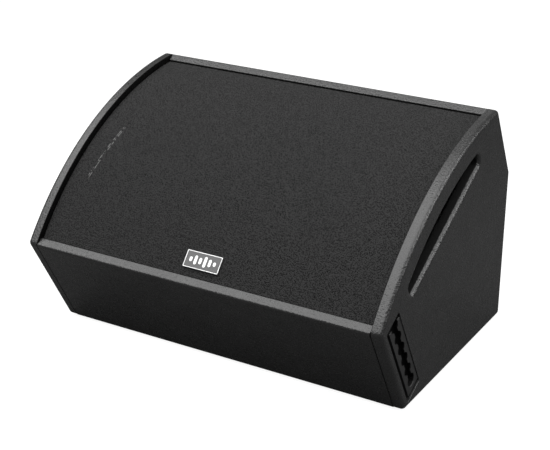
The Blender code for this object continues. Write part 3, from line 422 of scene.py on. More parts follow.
def treated_cloth():
    return woven("treated_cloth", (0.06, 0.035, 0.015), (0.2, 0.13, 0.06), 0.9 * MM, 0.8)


def circuit_board():
    return woven("circuit_board", (0.02, 0.055, 0.022), (0.04, 0.1, 0.042), 1.4 * MM, 0.45)


def enamelled_copper():
    """Copper wire under clear enamel, a little darker here and there."""
    made = speckled("enamelled_copper", (0.42, 0.15, 0.06), (0.7, 0.32, 0.14), 320, 0.3, 1.0, 0.15)
    shader = made.node_tree.nodes["Principled BSDF"]
    shader.inputs["Coat Weight"].default_value = 0.5
    shader.inputs["Coat Roughness"].default_value = 0.15
    return made


def wadding():
    """White fibre fleece: a tangle of soft strands."""
    made, tree, shader, place = new_finish("wadding", 1.0, specular=0.1)
    tangle = maths(tree, "ADD", grain(tree, place, 120, 6, 0.75), cells(tree, place, 160, "F1"))
    colour = shade(tree, spread(tree, tangle, 0.6, 1.3, 0, 1), (0.42, 0.42, 0.4), (0.75, 0.75, 0.72))
    wire(tree, shader, colour, None, tangle, 0.9, 1.5 * MM)
    return made


def badge_grey():
    made, tree, shader, place = new_finish("badge_field", 0.4)
    colour = shade(tree, grain(tree, place, 1500, 2), 0.04, 0.06)
    wire(tree, shader, colour, None, grain(tree, place, 2000, 2), 0.1, 0.05 * MM)
    return made


def badge_white():
    made, tree, shader, place = new_finish("badge_print", 0.35)
    colour = shade(tree, grain(tree, place, 800, 2), 0.78, 0.9)
    wire(tree, shader, colour)
    return made


FINISHES = {
    "textured_paint": textured_paint(),
    "hollow_shade_black": hollow_shade_black(),
    "birch_plywood": birch_plywood(),
    "grille_foam": open_cell_foam(),
    "powder_coated_steel": powder_coated_steel(),
    "track_aluminium": anodised_track(),
    "zinc_plated_steel": zinc_plated_steel(),
    "contact_brass": contact_brass(),
    "cast_basket": cast_basket(),
    "ferrite": ferrite(),
    "paper_cone": paper_cone(),
    "treated_cloth": treated_cloth(),
    "enamelled_copper": enamelled_copper(),
    "moulded_plastic": moulded_plastic(),
    "circuit_board": circuit_board(),
    "rubber": rubber(),
    "wadding": wadding(),
    "badge": badge_grey(),
    "badge_print": badge_white(),
}


# ---------------------------------------------------------------- outlines

def rounded(points, radii, steps=6):
    """The outline with each corner that has a radius turned into an arc."""
    result = []
    count = len(points)
    for i, (point, radius) in enumerate(zip(points, radii)):
        corner = Vector(point)
        if radius == 0:
            result.append(corner)
            continue
        before = (Vector(points[i - 1]) - corner).normalized()
        after = (Vector(points[(i + 1) % count]) - corner).normalized()
        half = before.angle(after) / 2
        centre = corner + (before + after).normalized() * (radius / math.sin(half))
        start = corner + before * (radius / math.tan(half))
        turn = math.copysign(1, before.cross(after))
        for k in range(steps + 1):
            arm = start - centre
            arm.rotate(Matrix.Rotation(-turn * (math.pi - 2 * half) * k / steps, 2))
            result.append(centre + arm)
    return result


def soften(points, radius, steps=4):
    """An outline or profile with its corners rounded, less where a side is short. Ends on the axis stay."""
    radii = []
    for i, point in enumerate(points):
        before = Vector(points[i - 1]) - Vector(point)
        after = Vector(points[(i + 1) % len(points)]) - Vector(point)
        half = before.angle(after) / 2
        if point[0] < 1e-7 or half > math.radians(86):
            radii.append(0)
        else:
            radii.append(min(radius, 0.45 * min(before.length, after.length) * math.tan(half)))
    return rounded(points, radii, steps)


def rectangle(low, high, radius=0.0, steps=6):
    corners = [low, (high[0], low[1]), high, (low[0], high[1])]
    return rounded(corners, [radius] * 4, steps)


def inset(loop, distance):
    """The closed outline moved inwards by a distance, or outwards by a negative one."""
    count = len(loop)
    area = sum(loop[i - 1].cross(loop[i]) for i in range(count))
    turn = math.copysign(1, area)
    moved = []
    for i, here in enumerate(loop):
        before = (here - loop[i - 1]).normalized()
        after = (loop[(i + 1) % count] - here).normalized()
        side = Vector((-before.y, before.x))
        normal = (side + Vector((-after.y, after.x))).normalized()
        moved.append(here + normal * (turn * distance / normal.dot(side)))
    return moved


def arc_v(u, below=0.0):
    """Height over the chord of the curve that lies a distance below the curved front."""
    return ARC_CENTRE.y + math.sqrt((ARC_RADIUS - below) ** 2 - (u - ARC_CENTRE.x) ** 2)


def arc_angle(u, below):
    """The angle of the point at that u, on the curve that lies a distance below the curved front."""
    return math.asin((u - ARC_CENTRE.x) / (ARC_RADIUS - below))


def on_arc(angle, below):
    return ARC_CENTRE + (ARC_RADIUS - below) * Vector((math.sin(angle), math.cos(angle)))


def arc_points(start, end, below, steps):
    """Points on that curve from one u to another, evenly spaced in angle."""
    first = arc_angle(start, below)
    turn = arc_angle(end, below) - first
    return [on_arc(first + turn * k / steps, below) for k in range(steps + 1)]


def on_slope(y, z):
    """The (u, v) of a point given by its y and z."""
    arm = Vector((y, z)) - POINT_B
    return Vector((arm.dot(ALONG), arm.dot(OUT)))


# ---------------------------------------------------------------- meshes

def bridge(shape, first, second):
    """Faces between two rings. A ring of one point closes the other to a tip."""
    count = max(len(first), len(second))
    for k in range(count):
        after = (k + 1) % count
        corners = [first[k % len(first)], first[after % len(first)]]
        corners += [second[after % len(second)], second[k % len(second)]]
        corners = list(dict.fromkeys(corners))
        if len(corners) > 2:
            shape.faces.new(corners)


def skin(rings, joined=False, open_ends=False):
    """A form through rings of points, either capped at its two ends or joined into a loop."""
    shape = bmesh.new()
    made = [[shape.verts.new(point) for point in ring] for ring in rings]
    for first, second in zip(made, made[1:]):
        bridge(shape, first, second)
    if joined:
        bridge(shape, made[-1], made[0])
    elif not open_ends:
        for end in (made[0], made[-1]):
            if len(end) > 2:
                shape.faces.new(end)
    if not open_ends:
        bmesh.ops.recalc_face_normals(shape, faces=shape.faces)
    return shape


def tower(shape, levels, place=None):
    """Adds a closed form through outlines at given heights. Gives its faces, with the top one last."""
    place = place or Matrix.Identity(4)
    rings = [[shape.verts.new(place @ Vector((*p, height))) for p in loop] for loop, height in levels]
    before = len(shape.faces)
    for first, second in zip(rings, rings[1:]):
        bridge(shape, first, second)
    shape.faces.new(rings[0])
    shape.faces.new(rings[-1])
    shape.faces.ensure_lookup_table()
    return shape.faces[before:]


def loft(rings):
    """A closed form through outlines at given x, each with as many points."""
    return skin([[(x, p.x, p.y) for p in loop] for x, loop in rings])


def stack(rings):
    """A closed form through outlines in the local XY plane at given heights."""
    return skin([[(p.x, p.y, z) for p in loop] for loop, z in rings])


def turned(profile, steps=96):
    """A profile of (radius, height) turned about local Z: a ring, unless it ends on the axis."""
    rings = []
    for radius, height in profile:
        count = steps if radius > 1e-7 else 1
        angles = [2 * math.pi * k / count for k in range(count)]
        rings.append([(radius * math.cos(a), radius * math.sin(a), height) for a in angles])
    return skin(rings, joined=len(rings[0]) > 1)


def rod(radius, low, high, steps=96):
    return turned([(0, low), (radius, low), (radius, high), (0, high)], steps)


def eased(loop, at, inward, radius, steps=4):
    """Rings of a rounded edge: from the full outline, a radius inside the face, to the face."""
    rings = []
    for k in range(steps + 1):
        angle = math.pi / 2 * k / steps
        x = at - inward * radius * (1 - math.sin(angle))
        rings.append((x, inset(loop, radius * (1 - math.cos(angle)))))
    return rings


def slab(loop, low, high, round_low, round_high, steps=4):
    """A board from one x to another, with the edges of both its faces rounded."""
    start = eased(loop, low, -1, round_low, steps)
    end = eased(loop, high, 1, round_high, steps)
    return loft(list(reversed(start)) + end)


def flared(loop, low, high, side, radius, steps=6):
    """A cutter along x that opens out at the outer face, so that the hole gets a rounded lip."""
    face = high if side > 0 else low
    inner = low if side > 0 else high
    rings = [(inner - side * SIDE, loop)]
    for k in range(steps + 1):
        angle = math.pi / 2 * k / steps
        at = face - side * radius * (1 - math.sin(angle))
        rings.append((at, inset(loop, -radius * (1 - math.cos(angle)))))
    rings.append((face + side * 2 * MM, inset(loop, -radius)))
    return loft(rings)


def chamfered(loop, bottom, face, side, edge):
    """A cutter along x from its bottom to a face, where it opens out a little and so breaks the edge."""
    wide = inset(loop, -edge)
    rings = [(bottom, loop), (face - edge, loop), (face, wide), (face + 1 * MM, wide)]
    return loft([(side * x, ring) for x, ring in rings])


def as_object(shape, name, matrix=None):
    mesh = bpy.data.meshes.new(name)
    shape.to_mesh(mesh)
    shape.free()
    if matrix is not None:
        mesh.transform(matrix)
    obj = bpy.data.objects.new(name, mesh)
    bpy.context.scene.collection.objects.link(obj)
    return obj


def apply_modifiers(obj):
    """Makes the evaluated shape the object's own mesh."""
    graph = bpy.context.evaluated_depsgraph_get()
    mesh = bpy.data.meshes.new_from_object(obj.evaluated_get(graph))
    obj.modifiers.clear()
    obj.data = mesh
    return obj


def carve(obj, *cutters):
    """Cuts the shapes away from the object, and removes them."""
    for cutter in cutters:
        modifier = obj.modifiers.new(cutter.name, "BOOLEAN")
        modifier.object = cutter
        modifier.operation = "DIFFERENCE"
    bpy.context.view_layer.update()
    apply_modifiers(obj)
    for cutter in cutters:
        bpy.data.objects.remove(cutter)
    return obj


def smooth(obj, degrees=32):
    obj.data.shade_smooth()
    obj.data.set_sharp_from_angle(angle=math.radians(degrees))
    weighted = obj.modifiers.new("even shading", "WEIGHTED_NORMAL")
    weighted.keep_sharp = True
    return obj


def darken(obj, depth, inside):
    """Turns faces to the second finish, a painted shade: those nearer the middle than the depth, where
    inside() holds.
    """
    back = SLOPE.inverted()
    for face in obj.data.polygons:
        at = back @ face.center
        if abs(at.x) < depth and inside(at):
            face.material_index = 1


def show(obj, slot, *nodes, body="cabinet", finish=None):
    """Gives the piece its finish and its place in the frame: the nodes it stands for, and its body."""
    for name in finish or (slot,):
        obj.data.materials.append(FINISHES[name])
    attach(obj, body)
    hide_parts(*nodes)
    return obj


def finished(shape, name, place, slot, *nodes, cutters=(), crease=32, **how):
    """A whole piece: its form in place, cut, shaded, and set in the frame."""
    obj = as_object(shape, name, place)
    if cutters:
        carve(obj, *cutters)
    smooth(obj, crease)
    return show(obj, slot, *nodes, **how)


def turned_piece(name, profile, place, slot, steps, **how):
    return finished(turned(profile, steps), name + "_piece", place, slot, name, **how)


def quarter(steps):
    """The angles of a quarter turn, in even steps."""
    return [math.pi / 2 * k / steps for k in range(steps + 1)]


def middle_and_half(name):
    """The middle of the box of a CAD node, and half its size."""
    low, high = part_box(name)
    return (low + high) / 2, (high - low) / 2


# ---------------------------------------------------------------- cabinet

def side_outline():
    front = list(reversed(arc_points(0, CHORD, 0, 72)))
    corners = [on_slope(*POINT_A), on_slope(BACK_Y, FLOOR_Z), Vector((CHORD, -REAR_SLOPE))] + front
    radii = [CORNER_ROUND] * 4 + [0] * (len(front) - 2) + [CORNER_ROUND]
    return rounded(corners, radii, 8)


def hand_hole_outline():
    front = HAND_LOW_FRONT[0]
    rear = HAND_LOW_REAR[0]
    step_in = 20 * MM
    upper = arc_points(rear - step_in, front + step_in, HAND_BELOW_ARC, 32)
    corners = [HAND_LOW_FRONT, HAND_LOW_REAR, (rear, arc_v(rear, HAND_BELOW_ARC))]
    corners += upper + [(front, arc_v(front, HAND_BELOW_ARC))]
    radii = [HAND_FRONT_ROUND, HAND_REAR_ROUND, HAND_REAR_ROUND]
    radii += [0] * len(upper) + [HAND_FRONT_ROUND]
    return rounded(corners, radii, 8)


def in_hand_hole(at):
    """Whether a point of the slope's axes lies on the wall of the hand hole."""
    if not HAND_LOW_FRONT[0] < at.y < HAND_LOW_REAR[0]:
        return False
    return HAND_LOW_FRONT[1] - MM < at.z < arc_v(at.y, HAND_BELOW_ARC) + MM


def side_panel(name, side):
    low, high = sorted((side * INNER, side * HALF_WIDTH))
    edges = (JOINT_EDGE, FACE_ROUND) if side > 0 else (FACE_ROUND, JOINT_EDGE)
    panel = as_object(slab(side_outline(), low, high, *edges, 8), name, SLOPE)
    hole = as_object(flared(hand_hole_outline(), low, high, side, HAND_LIP), name + "_hole", SLOPE)
    corners = (POCKET_U[0], POCKET_V[0]), (POCKET_U[1], POCKET_V[1])
    outline = rectangle(*corners, POCKET_ROUND)
    pocket = chamfered(outline, TRACK_BACK - GAP, HALF_WIDTH, side, POCKET_LIP)
    carve(panel, hole, as_object(pocket, name + "_pocket", SLOPE))
    smooth(panel)
    # Painted shade: the deeper wall of the hand hole takes the matt black second finish.
    darken(panel, HALF_WIDTH - HAND_LIP * 0.75, in_hand_hole)
    return show(panel, "textured_paint", name, finish=("textured_paint", "hollow_shade_black"))


def cross_panel(name, corners, radii):
    """A board between the side panels."""
    half = INNER - GAP
    outline = rounded([Vector(c) for c in corners], radii, 6)
    board = slab(outline, -half, half, JOINT_EDGE, JOINT_EDGE, 3)
    return finished(board, name, SLOPE, "textured_paint", name)


def z_at(u, y):
    """The height at which the plane of that u crosses the depth y."""
    return POINT_B.y + (u - (y - POINT_B.x) * ALONG.x) / ALONG.y


def y_at(u, z):
    """The depth at which the plane of that u crosses the height z."""
    return POINT_B.x + (u - (z - POINT_B.y) * ALONG.y) / ALONG.x


def kick_panel():
    inner_foot = on_slope(y_at(BOARD, FLOOR_Z), FLOOR_Z)
    corners = [on_slope(*POINT_A), inner_foot, (BOARD, 0), (0, 0)]
    return cross_panel("kick_panel", corners, [EDGE_ROUND, JOINT_EDGE, 1 * MM, EDGE_ROUND])


def rear_slope_panel():
    inner = CHORD - BOARD
    low_inner = on_slope(BACK_Y, z_at(inner, BACK_Y))
    corners = [low_inner, (CHORD, -REAR_SLOPE), (CHORD, 0), (inner, 0)]
    return cross_panel("rear_slope_panel", corners, [JOINT_EDGE, EDGE_ROUND, EDGE_ROUND, 1 * MM])


def bottom_panel():
    front = BOARD + GAP
    back = BACK_Y - BOARD - GAP
    top = FLOOR_Z + BOARD
    corners = [on_slope(y_at(front, FLOOR_Z), FLOOR_Z), on_slope(back, FLOOR_Z)]
    corners += [on_slope(back, top), on_slope(y_at(front, top), top)]
    return cross_panel("bottom_panel", corners, [JOINT_EDGE] * 4)


def back_panel():
    """Upright, with an opening for the connector dish."""
    inner = BACK_Y - BOARD
    under = CHORD - BOARD - GAP
    corners = [on_slope(inner, FLOOR_Z), on_slope(BACK_Y, FLOOR_Z)]
    corners += [on_slope(BACK_Y, z_at(under, BACK_Y)), on_slope(inner, z_at(under, inner))]
    panel = cross_panel("back_panel", corners, [JOINT_EDGE] * 4)
    half = Vector(DISH_CUP) / 2 + Vector((DISH_WALL + 0.5 * MM,) * 2)
    opening = rectangle(-half, half, 7 * MM)
    through = stack([(opening, -2 * BOARD), (opening, BOARD)])
    return carve(panel, as_object(through, "opening", BACK_FACE))


side_panel("side_panel_right", 1)
side_panel("side_panel_left", -1)
kick_panel()
rear_slope_panel()
bottom_panel()
back_panel()


# ---------------------------------------------------------------- fly tracks

def track_hole_v(hole):
    return TRACK_V[1] - TRACK_FIRST_HOLE - hole * TRACK_PITCH


def scalloped_slot():
    """The opening along a fly track: a slot widened by round openings a pitch apart."""
    half = TRACK_SLOT / 2
    start = math.acos(half / TRACK_HOLE_RADIUS)
    top = TRACK_V[1] + 1 * MM
    right = []
    for hole in range(TRACK_HOLES):
        middle = Vector((0, track_hole_v(hole)))
        for k in range(13):
            angle = start - 2 * start * k / 12
            at = middle + TRACK_HOLE_RADIUS * Vector((math.cos(angle), math.sin(angle)))
            right.append(Vector((at.x, min(at.y, top))))
    if right[0].y < top - 1e-6:
        right.insert(0, Vector((half, top)))
    right.append(Vector((half, TRACK_V[0] + TRACK_FOOT)))
    left = [Vector((-p.x, p.y)) for p in reversed(right)]
    return [Vector((TRACK_U + p.x, p.y)) for p in right + left]


def in_channel(at):
    """Whether a point of the slope's axes lies in or beside the channel of a fly track."""
    return abs(at.y - TRACK_U) < TRACK_CHANNEL / 2 + MM and at.z > TRACK_V[0] + TRACK_FOOT - MM


def fly_track(name, side):
    """An extruded rail: a channel under a lip that the scalloped slot goes through."""
    low, high = sorted((side * TRACK_BACK, side * TRACK_TOP))
    edges = (0.3 * MM, 0.5 * MM) if side > 0 else (0.5 * MM, 0.3 * MM)
    ends = (TRACK_U - TRACK_WIDTH / 2, TRACK_V[0]), (TRACK_U + TRACK_WIDTH / 2, TRACK_V[1])
    rail = as_object(slab(rectangle(*ends, TRACK_CORNER), low, high, *edges, 3), name, SLOPE)
    lip = TRACK_TOP - TRACK_LIP
    slot = chamfered(scalloped_slot(), lip - 0.5 * MM, TRACK_TOP, side, TRACK_SLOT_EDGE)
    half = TRACK_CHANNEL / 2
    start = (TRACK_U - half, TRACK_V[0] + TRACK_FOOT)
    inside = rectangle(start, (TRACK_U + half, TRACK_V[1] + MM), 0.5 * MM, 2)
    channel = loft([(side * (TRACK_BACK + TRACK_BASE), inside), (side * lip, inside)])
    cutters = as_object(slot, name + "_slot", SLOPE), as_object(channel, name + "_channel", SLOPE)
    carve(rail, *cutters)
    smooth(rail, 28)
    # Painted shade: the faces inside the channel take the matt black second finish.
    darken(rail, TRACK_TOP - 0.6 * MM, in_channel)
    return show(rail, "track_aluminium", name, finish=("track_aluminium", "hollow_shade_black"))


fly_track("fly_track_right", 1)
fly_track("fly_track_left", -1)


# ---------------------------------------------------------------- grille

def grille_curve(below):
    """First angle and length of the grille, on the curve that lies a distance below the front."""
    first = arc_angle(BOARD + GAP, below)
    last = arc_angle(CHORD - BOARD - GAP, below)
    return first, (last - first) * (ARC_RADIUS - below)


def on_grille(x, angle, below):
    return Vector((x, *on_arc(angle, below)))


def spaced(k, count, low, high):
    """The place of a net's line: even, but for three closer lines at each border."""
    close = (0.0, 0.25, 0.6, 1.0)
    if k < len(close):
        return low + FOAM_EDGE * close[k]
    if k > count - len(close):
        return high - FOAM_EDGE * close[count - k]
    step = (high - low - 2 * FOAM_EDGE) / (count - 2 * (len(close) - 1))
    return low + FOAM_EDGE + step * (k - len(close) + 1)


def edge_fall(distance):
    """How far the foam's rounded edge falls at a distance from its border."""
    near = max(0.0, FOAM_EDGE - distance)
    return FOAM_EDGE - math.sqrt(max(0.0, FOAM_EDGE**2 - near**2))


def foam_depth(x, along, length):
    """Depth of the foam's face below its curve: rounded at the borders, and faintly uneven."""
    to_side = GRILLE_HALF - abs(x)
    to_end = min(along, length - along)
    fall = min(edge_fall(to_side) + edge_fall(to_end), FOAM_EDGE)
    here = Vector((x, along, 0)) * 40
    uneven = 0.3 - 0.25 * noise.noise(here) - 0.15 * noise.noise(here * 6)
    return fall + uneven * MM * min(1, min(to_side, to_end) / (6 * MM))


def grille_foam():
    """Foam bent over the sheet: a fine net on top, over a plain underside."""
    columns, rows = 200, 140
    first, length = grille_curve(FOAM_BELOW_ARC)
    shape = bmesh.new()
    net = []
    under = []
    for j in range(rows + 1):
        along = spaced(j, rows, 0, length)
        angle = first + along / (ARC_RADIUS - FOAM_BELOW_ARC)
        line = []
        for i in range(columns + 1):
            x = spaced(i, columns, -GRILLE_HALF, GRILLE_HALF)
            below = FOAM_BELOW_ARC + foam_depth(x, along, length)
            line.append(shape.verts.new(on_grille(x, angle, below)))
        net.append(line)
        ends = [on_grille(x, angle, FOAM_BELOW_ARC + FOAM) for x in (-GRILLE_HALF, GRILLE_HALF)]
        under.append([shape.verts.new(end) for end in ends])
    for j in range(rows):
        lower, upper = net[j], net[j + 1]
        for i in range(columns):
            shape.faces.new((lower[i], lower[i + 1], upper[i + 1], upper[i]))
        for end in (0, -1):
            shape.faces.new((lower[end], under[j][end], under[j + 1][end], upper[end]))
        shape.faces.new((*under[j], *reversed(under[j + 1])))
    for end in (0, -1):
        shape.faces.new((*net[end], *reversed(under[end])))
    bmesh.ops.recalc_face_normals(shape, faces=shape.faces)
    foam = finished(shape, "foam", SLOPE, "grille_foam", "grille_foam", crease=50)
    return foam


def pierced(shape, around, mouth):
    """A square of sheet round an eight-sided hole, as four faces."""
    for k in range(4):
        inner = [mouth[(2 * k + 2) % 8], mouth[2 * k + 1], mouth[2 * k]]
        shape.faces.new([around[k], around[(k + 1) % 4]] + inner)


def grille_sheet():
    """Perforated steel bent to the curve under the foam, with a plain border."""
    top = FOAM_BELOW_ARC + FOAM + GAP
    first, length = grille_curve(top)
    columns = round(2 * GRILLE_HALF / SHEET_PITCH)
    rows = round(length / SHEET_PITCH)
    wide = 2 * GRILLE_HALF / columns
    tall = length / rows
    hole = 0.3 * SHEET_PITCH
    shape = bmesh.new()

    def corner(i, j, depth):
        angle = first + j * tall / (ARC_RADIUS - top)
        return shape.verts.new(on_grille(i * wide - GRILLE_HALF, angle, top + depth))

    def mouth(i, j, depth):
        """The corners of the hole in a square, in the order of the square's own corners."""
        angles = [math.pi / 4 * (k - 3) for k in range(8)]
        across, along = hole / wide, hole / tall
        places = [(i + 0.5 + across * math.cos(a), j + 0.5 + along * math.sin(a)) for a in angles]
        return [corner(*at, depth) for at in places]

    def net(depth):
        return [[corner(i, j, depth) for i in range(columns + 1)] for j in range(rows + 1)]

    sides = net(0), net(SHEET)
    for j in range(rows):
        for i in range(columns):
            squares = [[s[j][i], s[j][i + 1], s[j + 1][i + 1], s[j + 1][i]] for s in sides]
            if i in (0, columns - 1) or j in (0, rows - 1):
                for around in squares:
                    shape.faces.new(around)
            else:
                mouths = [mouth(i, j, depth) for depth in (0, SHEET)]
                for around, hole_edge in zip(squares, mouths):
                    pierced(shape, around, hole_edge)
                bridge(shape, *mouths)
    upper, lower = sides
    for j in (0, -1):
        for i in range(columns):
            shape.faces.new((upper[j][i], upper[j][i + 1], lower[j][i + 1], lower[j][i]))
    for i in (0, -1):
        for j in range(rows):
            shape.faces.new((upper[j][i], upper[j + 1][i], lower[j + 1][i], lower[j][i]))
    bmesh.ops.recalc_face_normals(shape, faces=shape.faces)
    return finished(shape, "perforated_sheet", SLOPE, "powder_coated_steel", "grille_sheet")


def badge():
    """A plate with dark sides, a raised pale border and a row of raised pale bars."""
    wide, deep, tall = BADGE
    low = Vector((-wide / 2, -deep / 2))
    outer = rectangle(low, -low, BADGE_CORNER)
    edge = 0.2 * MM
    levels = [(outer, 0), (outer, tall - edge), (inset(outer, edge), tall)]
    levels += [(inset(outer, BADGE_RIM - edge), tall), (inset(outer, BADGE_RIM), BADGE_FIELD)]
    shape = bmesh.new()
    for face in tower(shape, levels)[:-1]:
        face.material_index = int(face.calc_center_median().z > tall / 2)
    for number, reach in enumerate(BAR_REACHES):
        start = (number - (len(BAR_REACHES) - 1) / 2) * BAR_PITCH - BAR_WIDTH / 2
        outline = rectangle((start, -reach), (start + BAR_WIDTH, reach), BAR_WIDTH / 2 - 0.01 * MM, 5)
        edge = 0.15 * MM
        levels = [(outline, BADGE_FIELD), (outline, tall - edge), (inset(outline, edge), tall)]
        for face in tower(shape, levels):
            face.material_index = 1
    bmesh.ops.recalc_face_normals(shape, faces=shape.faces)
    lean = -arc_angle(BADGE_U, FOAM_BELOW_ARC)
    on_foam = SLOPE @ Matrix.Translation((0, BADGE_U, arc_v(BADGE_U, FOAM_BELOW_ARC)))
    place = on_foam @ Matrix.Rotation(lean, 4, "X") @ Matrix.Translation((0, 0, GAP))
    return finished(shape, "badge_plate", place, "badge", "badge", finish=("badge", "badge_print"))


def dress(name, slot, width):
    """Keeps a CAD node's own form, with its edges broken and a finish that has grain."""
    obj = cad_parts[name]
    obj.data.materials.clear()
    obj.data.materials.append(FINISHES[slot])
    edges = obj.modifiers.new("broken edges", "BEVEL")
    edges.width = width
    edges.segments = 2
    edges.limit_method = "ANGLE"
    edges.angle_limit = math.radians(40)


def wooden_supports():
    """Blocks and battens under the grille, and the brace."""
    dress("brace", "birch_plywood", 0.6 * MM)
    for name in ("grille_block_lower", "grille_block_upper", "grille_batten_left", "grille_batten_right"):
        dress(name, "textured_paint", 0.6 * MM)


grille_foam()
badge()
grille_sheet()
wooden_supports()


# ---------------------------------------------------------------- screws, bolts and feet

def crossed(width, reach):
    """The outline of a cross-shaped recess."""
    quarter = [(width, reach), (width, width), (reach, width)]
    outline = []
    for turn in range(4):
        for x, y in reversed(quarter):
            arm = Vector((x, y))
            arm.rotate(Matrix.Rotation(turn * math.pi / 2, 2))
            outline.append(arm)
    return outline


def hexagon(radius):
    return [radius * Vector((math.cos(k * math.pi / 3), math.sin(k * math.pi / 3))) for k in range(6)]


def screw(name, place, head, tall, shank, length, slot, recess="cross"):
    """A domed head above local Z = 0, with a recess in it, and a threaded shank below."""
    pitch = 1.1 * MM
    plain = 0.8 * MM
    profile = [(0, tall)]
    for angle in quarter(6)[1:]:
        profile.append((head * math.sin(angle), tall * (0.3 + 0.7 * math.cos(angle))))
    profile += [(head, 0), (shank, 0)]
    for k in range(int((length - 2.5 * MM) / pitch)):
        crest = -plain - pitch * k
        profile += [(shank, crest), (0.8 * shank, crest - pitch / 2)]
    profile += [(0.7 * shank, plain - length), (0, -length)]
    if recess == "cross":
        levels = [(crossed(0.1 * head, 0.3 * head), 0.35 * tall)]
        levels.append((crossed(0.16 * head, 0.62 * head), 1.1 * tall))
    else:
        levels = [(hexagon(0.5 * head), 0.3 * tall), (hexagon(0.52 * head), 1.1 * tall)]
    cutters = [as_object(stack(levels), "recess", place)]
    return turned_piece(name, profile, place, slot, 36, cutters=cutters)


def foot(corner):
    """A low round rubber foot, with the screw sunk into it."""
    low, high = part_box("foot_" + corner)
    at = Matrix.Translation(((low.x + high.x) / 2, (low.y + high.y) / 2, 0))
    radius = (high.x - low.x) / 2
    bore = 2.2 * MM
    well = 5.2 * MM
    recess = 2.4 * MM
    profile = [(bore, high.z), (radius, high.z), (radius, 0), (well, 0), (well, recess), (bore, recess)]
    pad = turned(soften(profile, 0.9 * MM))
    finished(pad, "rubber_foot_" + corner, at, "rubber", "foot_" + corner)
    upside_down = Matrix.Rotation(math.pi, 4, "X")
    head_at = Matrix.Translation((0, 0, recess - GAP))
    sizes = (4.2 * MM, 1.8 * MM, 1.6 * MM, 10 * MM)
    screw("foot_screw_" + corner, at @ head_at @ upside_down, *sizes, "zinc_plated_steel")


def track_fixings(side_name, side):
    """Two socket-head bolts in the channel, and the strip that they pull against inside."""
    dress("track_backing_" + side_name, "zinc_plated_steel", 0.4 * MM)
    seat = side * (TRACK_BACK + TRACK_BASE + GAP)
    for number, hole in enumerate(TRACK_BOLTS, 1):
        at = Matrix.Translation((seat, TRACK_U, track_hole_v(hole)))
        turn = Matrix.Rotation(side * math.pi / 2, 4, "Y")
        sizes = (5 * MM, 2.2 * MM, 2.5 * MM, 11 * MM)
        name = f"track_bolt_{side_name}_{number}"
        screw(name, SLOPE @ at @ turn, *sizes, "powder_coated_steel", "hexagon")


for corner in ("front_left", "front_right", "back_left", "back_right"):
    foot(corner)
track_fixings("right", 1)
track_fixings("left", -1)


# ---------------------------------------------------------------- baffle, ports and horn

def baffle():
    """The board behind the grille, with openings for woofer, horn and ports."""
    low = (-INNER + GAP, BOARD + GAP)
    high = (INNER - GAP, CHORD - BOARD - GAP)
    board = slab(rectangle(low, high, 0.5 * MM), BAFFLE_V - BOARD, BAFFLE_V, 0.4 * MM, 0.4 * MM, 2)
    through = (-2 * BOARD, BOARD)
    half = Vector(HORN_HOLE) / 2
    mouth = rectangle(-half, half, 8 * MM)
    cutters = [as_object(rod(WOOFER_HOLE, *through, 128), "woofer_hole", WOOFER_AXIS)]
    cutters.append(as_object(stack([(mouth, z) for z in through]), "horn_hole", HORN_AXIS))
    for name, u in PORT_U.items():
        at = SLOPE @ Matrix.Translation((HORN[0], u, BAFFLE_V))
        cutters.append(as_object(rod(PORT_RADIUS + 3.4 * MM, *through), "port_hole_" + name, at))
    place = SLOPE @ STACKED
    return finished(board, "baffle_board", place, "textured_paint", "baffle", cutters=cutters)


def port_tube(name, u):
    """A plastic tube with a flared mouth and a flange."""
    outer = PORT_RADIUS + 3 * MM
    face = 3 * MM
    tail = face - 75 * MM
    profile = [(outer + 5 * MM, face), (outer + 5 * MM, GAP), (outer, GAP)]
    profile += [(outer, tail), (PORT_RADIUS, tail)]
    for angle in quarter(8):
        radius = PORT_RADIUS + 5 * MM * (1 - math.cos(angle))
        profile.append((radius, face - 11 * MM * (1 - math.sin(angle))))
    at = SLOPE @ Matrix.Translation((HORN[0], u, BAFFLE_V))
    tube = turned(soften(profile, 0.5 * MM, 3))
    return finished(tube, "port_" + name, at, "moulded_plastic", "port_tube_" + name)


def horn_section(half_x, half_u, power, height, count=96):
    """A closed section between an ellipse (power 2) and a rounded rectangle (a higher power)."""
    points = []
    for k in range(count):
        angle = 2 * math.pi * k / count
        x = math.copysign(abs(math.cos(angle)) ** (2 / power), math.cos(angle))
        u = math.copysign(abs(math.sin(angle)) ** (2 / power), math.sin(angle))
        points.append((half_x * x, half_u * u, height))
    return points


def horn():
    """A flange and a flare that changes from a wide mouth to a round throat."""
    mouth = (80 * MM, 72 * MM)
    face = 4 * MM
    sections = [horn_section(100 * MM, 100 * MM, 12, face)]
    for ease in (4, 2, 0.8):
        grow = ease * MM
        sections.append(horn_section(mouth[0] + grow, mouth[1] + grow, 8, face - (4 - ease) * 0.25 * MM))
    steps = 28
    for k in range(steps + 1):
        share = k / steps
        grow = (1 - share) ** 1.7
        half_x = HORN_THROAT + (mouth[0] - HORN_THROAT) * grow
        half_u = HORN_THROAT + (mouth[1] - HORN_THROAT) * grow
        sections.append(horn_section(half_x, half_u, 2 + 6 * (1 - share), -HORN_DEPTH * share))
    sections.append(horn_section(30 * MM, 30 * MM, 2, -HORN_DEPTH - 1 * MM))
    flare = as_object(skin(sections, open_ends=True), "horn_flare", HORN_AXIS)
    wall = flare.modifiers.new("wall", "SOLIDIFY")
    wall.thickness = 3 * MM
    wall.offset = 1
    apply_modifiers(flare)
    smooth(flare, 40)
    return show(flare, "moulded_plastic", "horn")


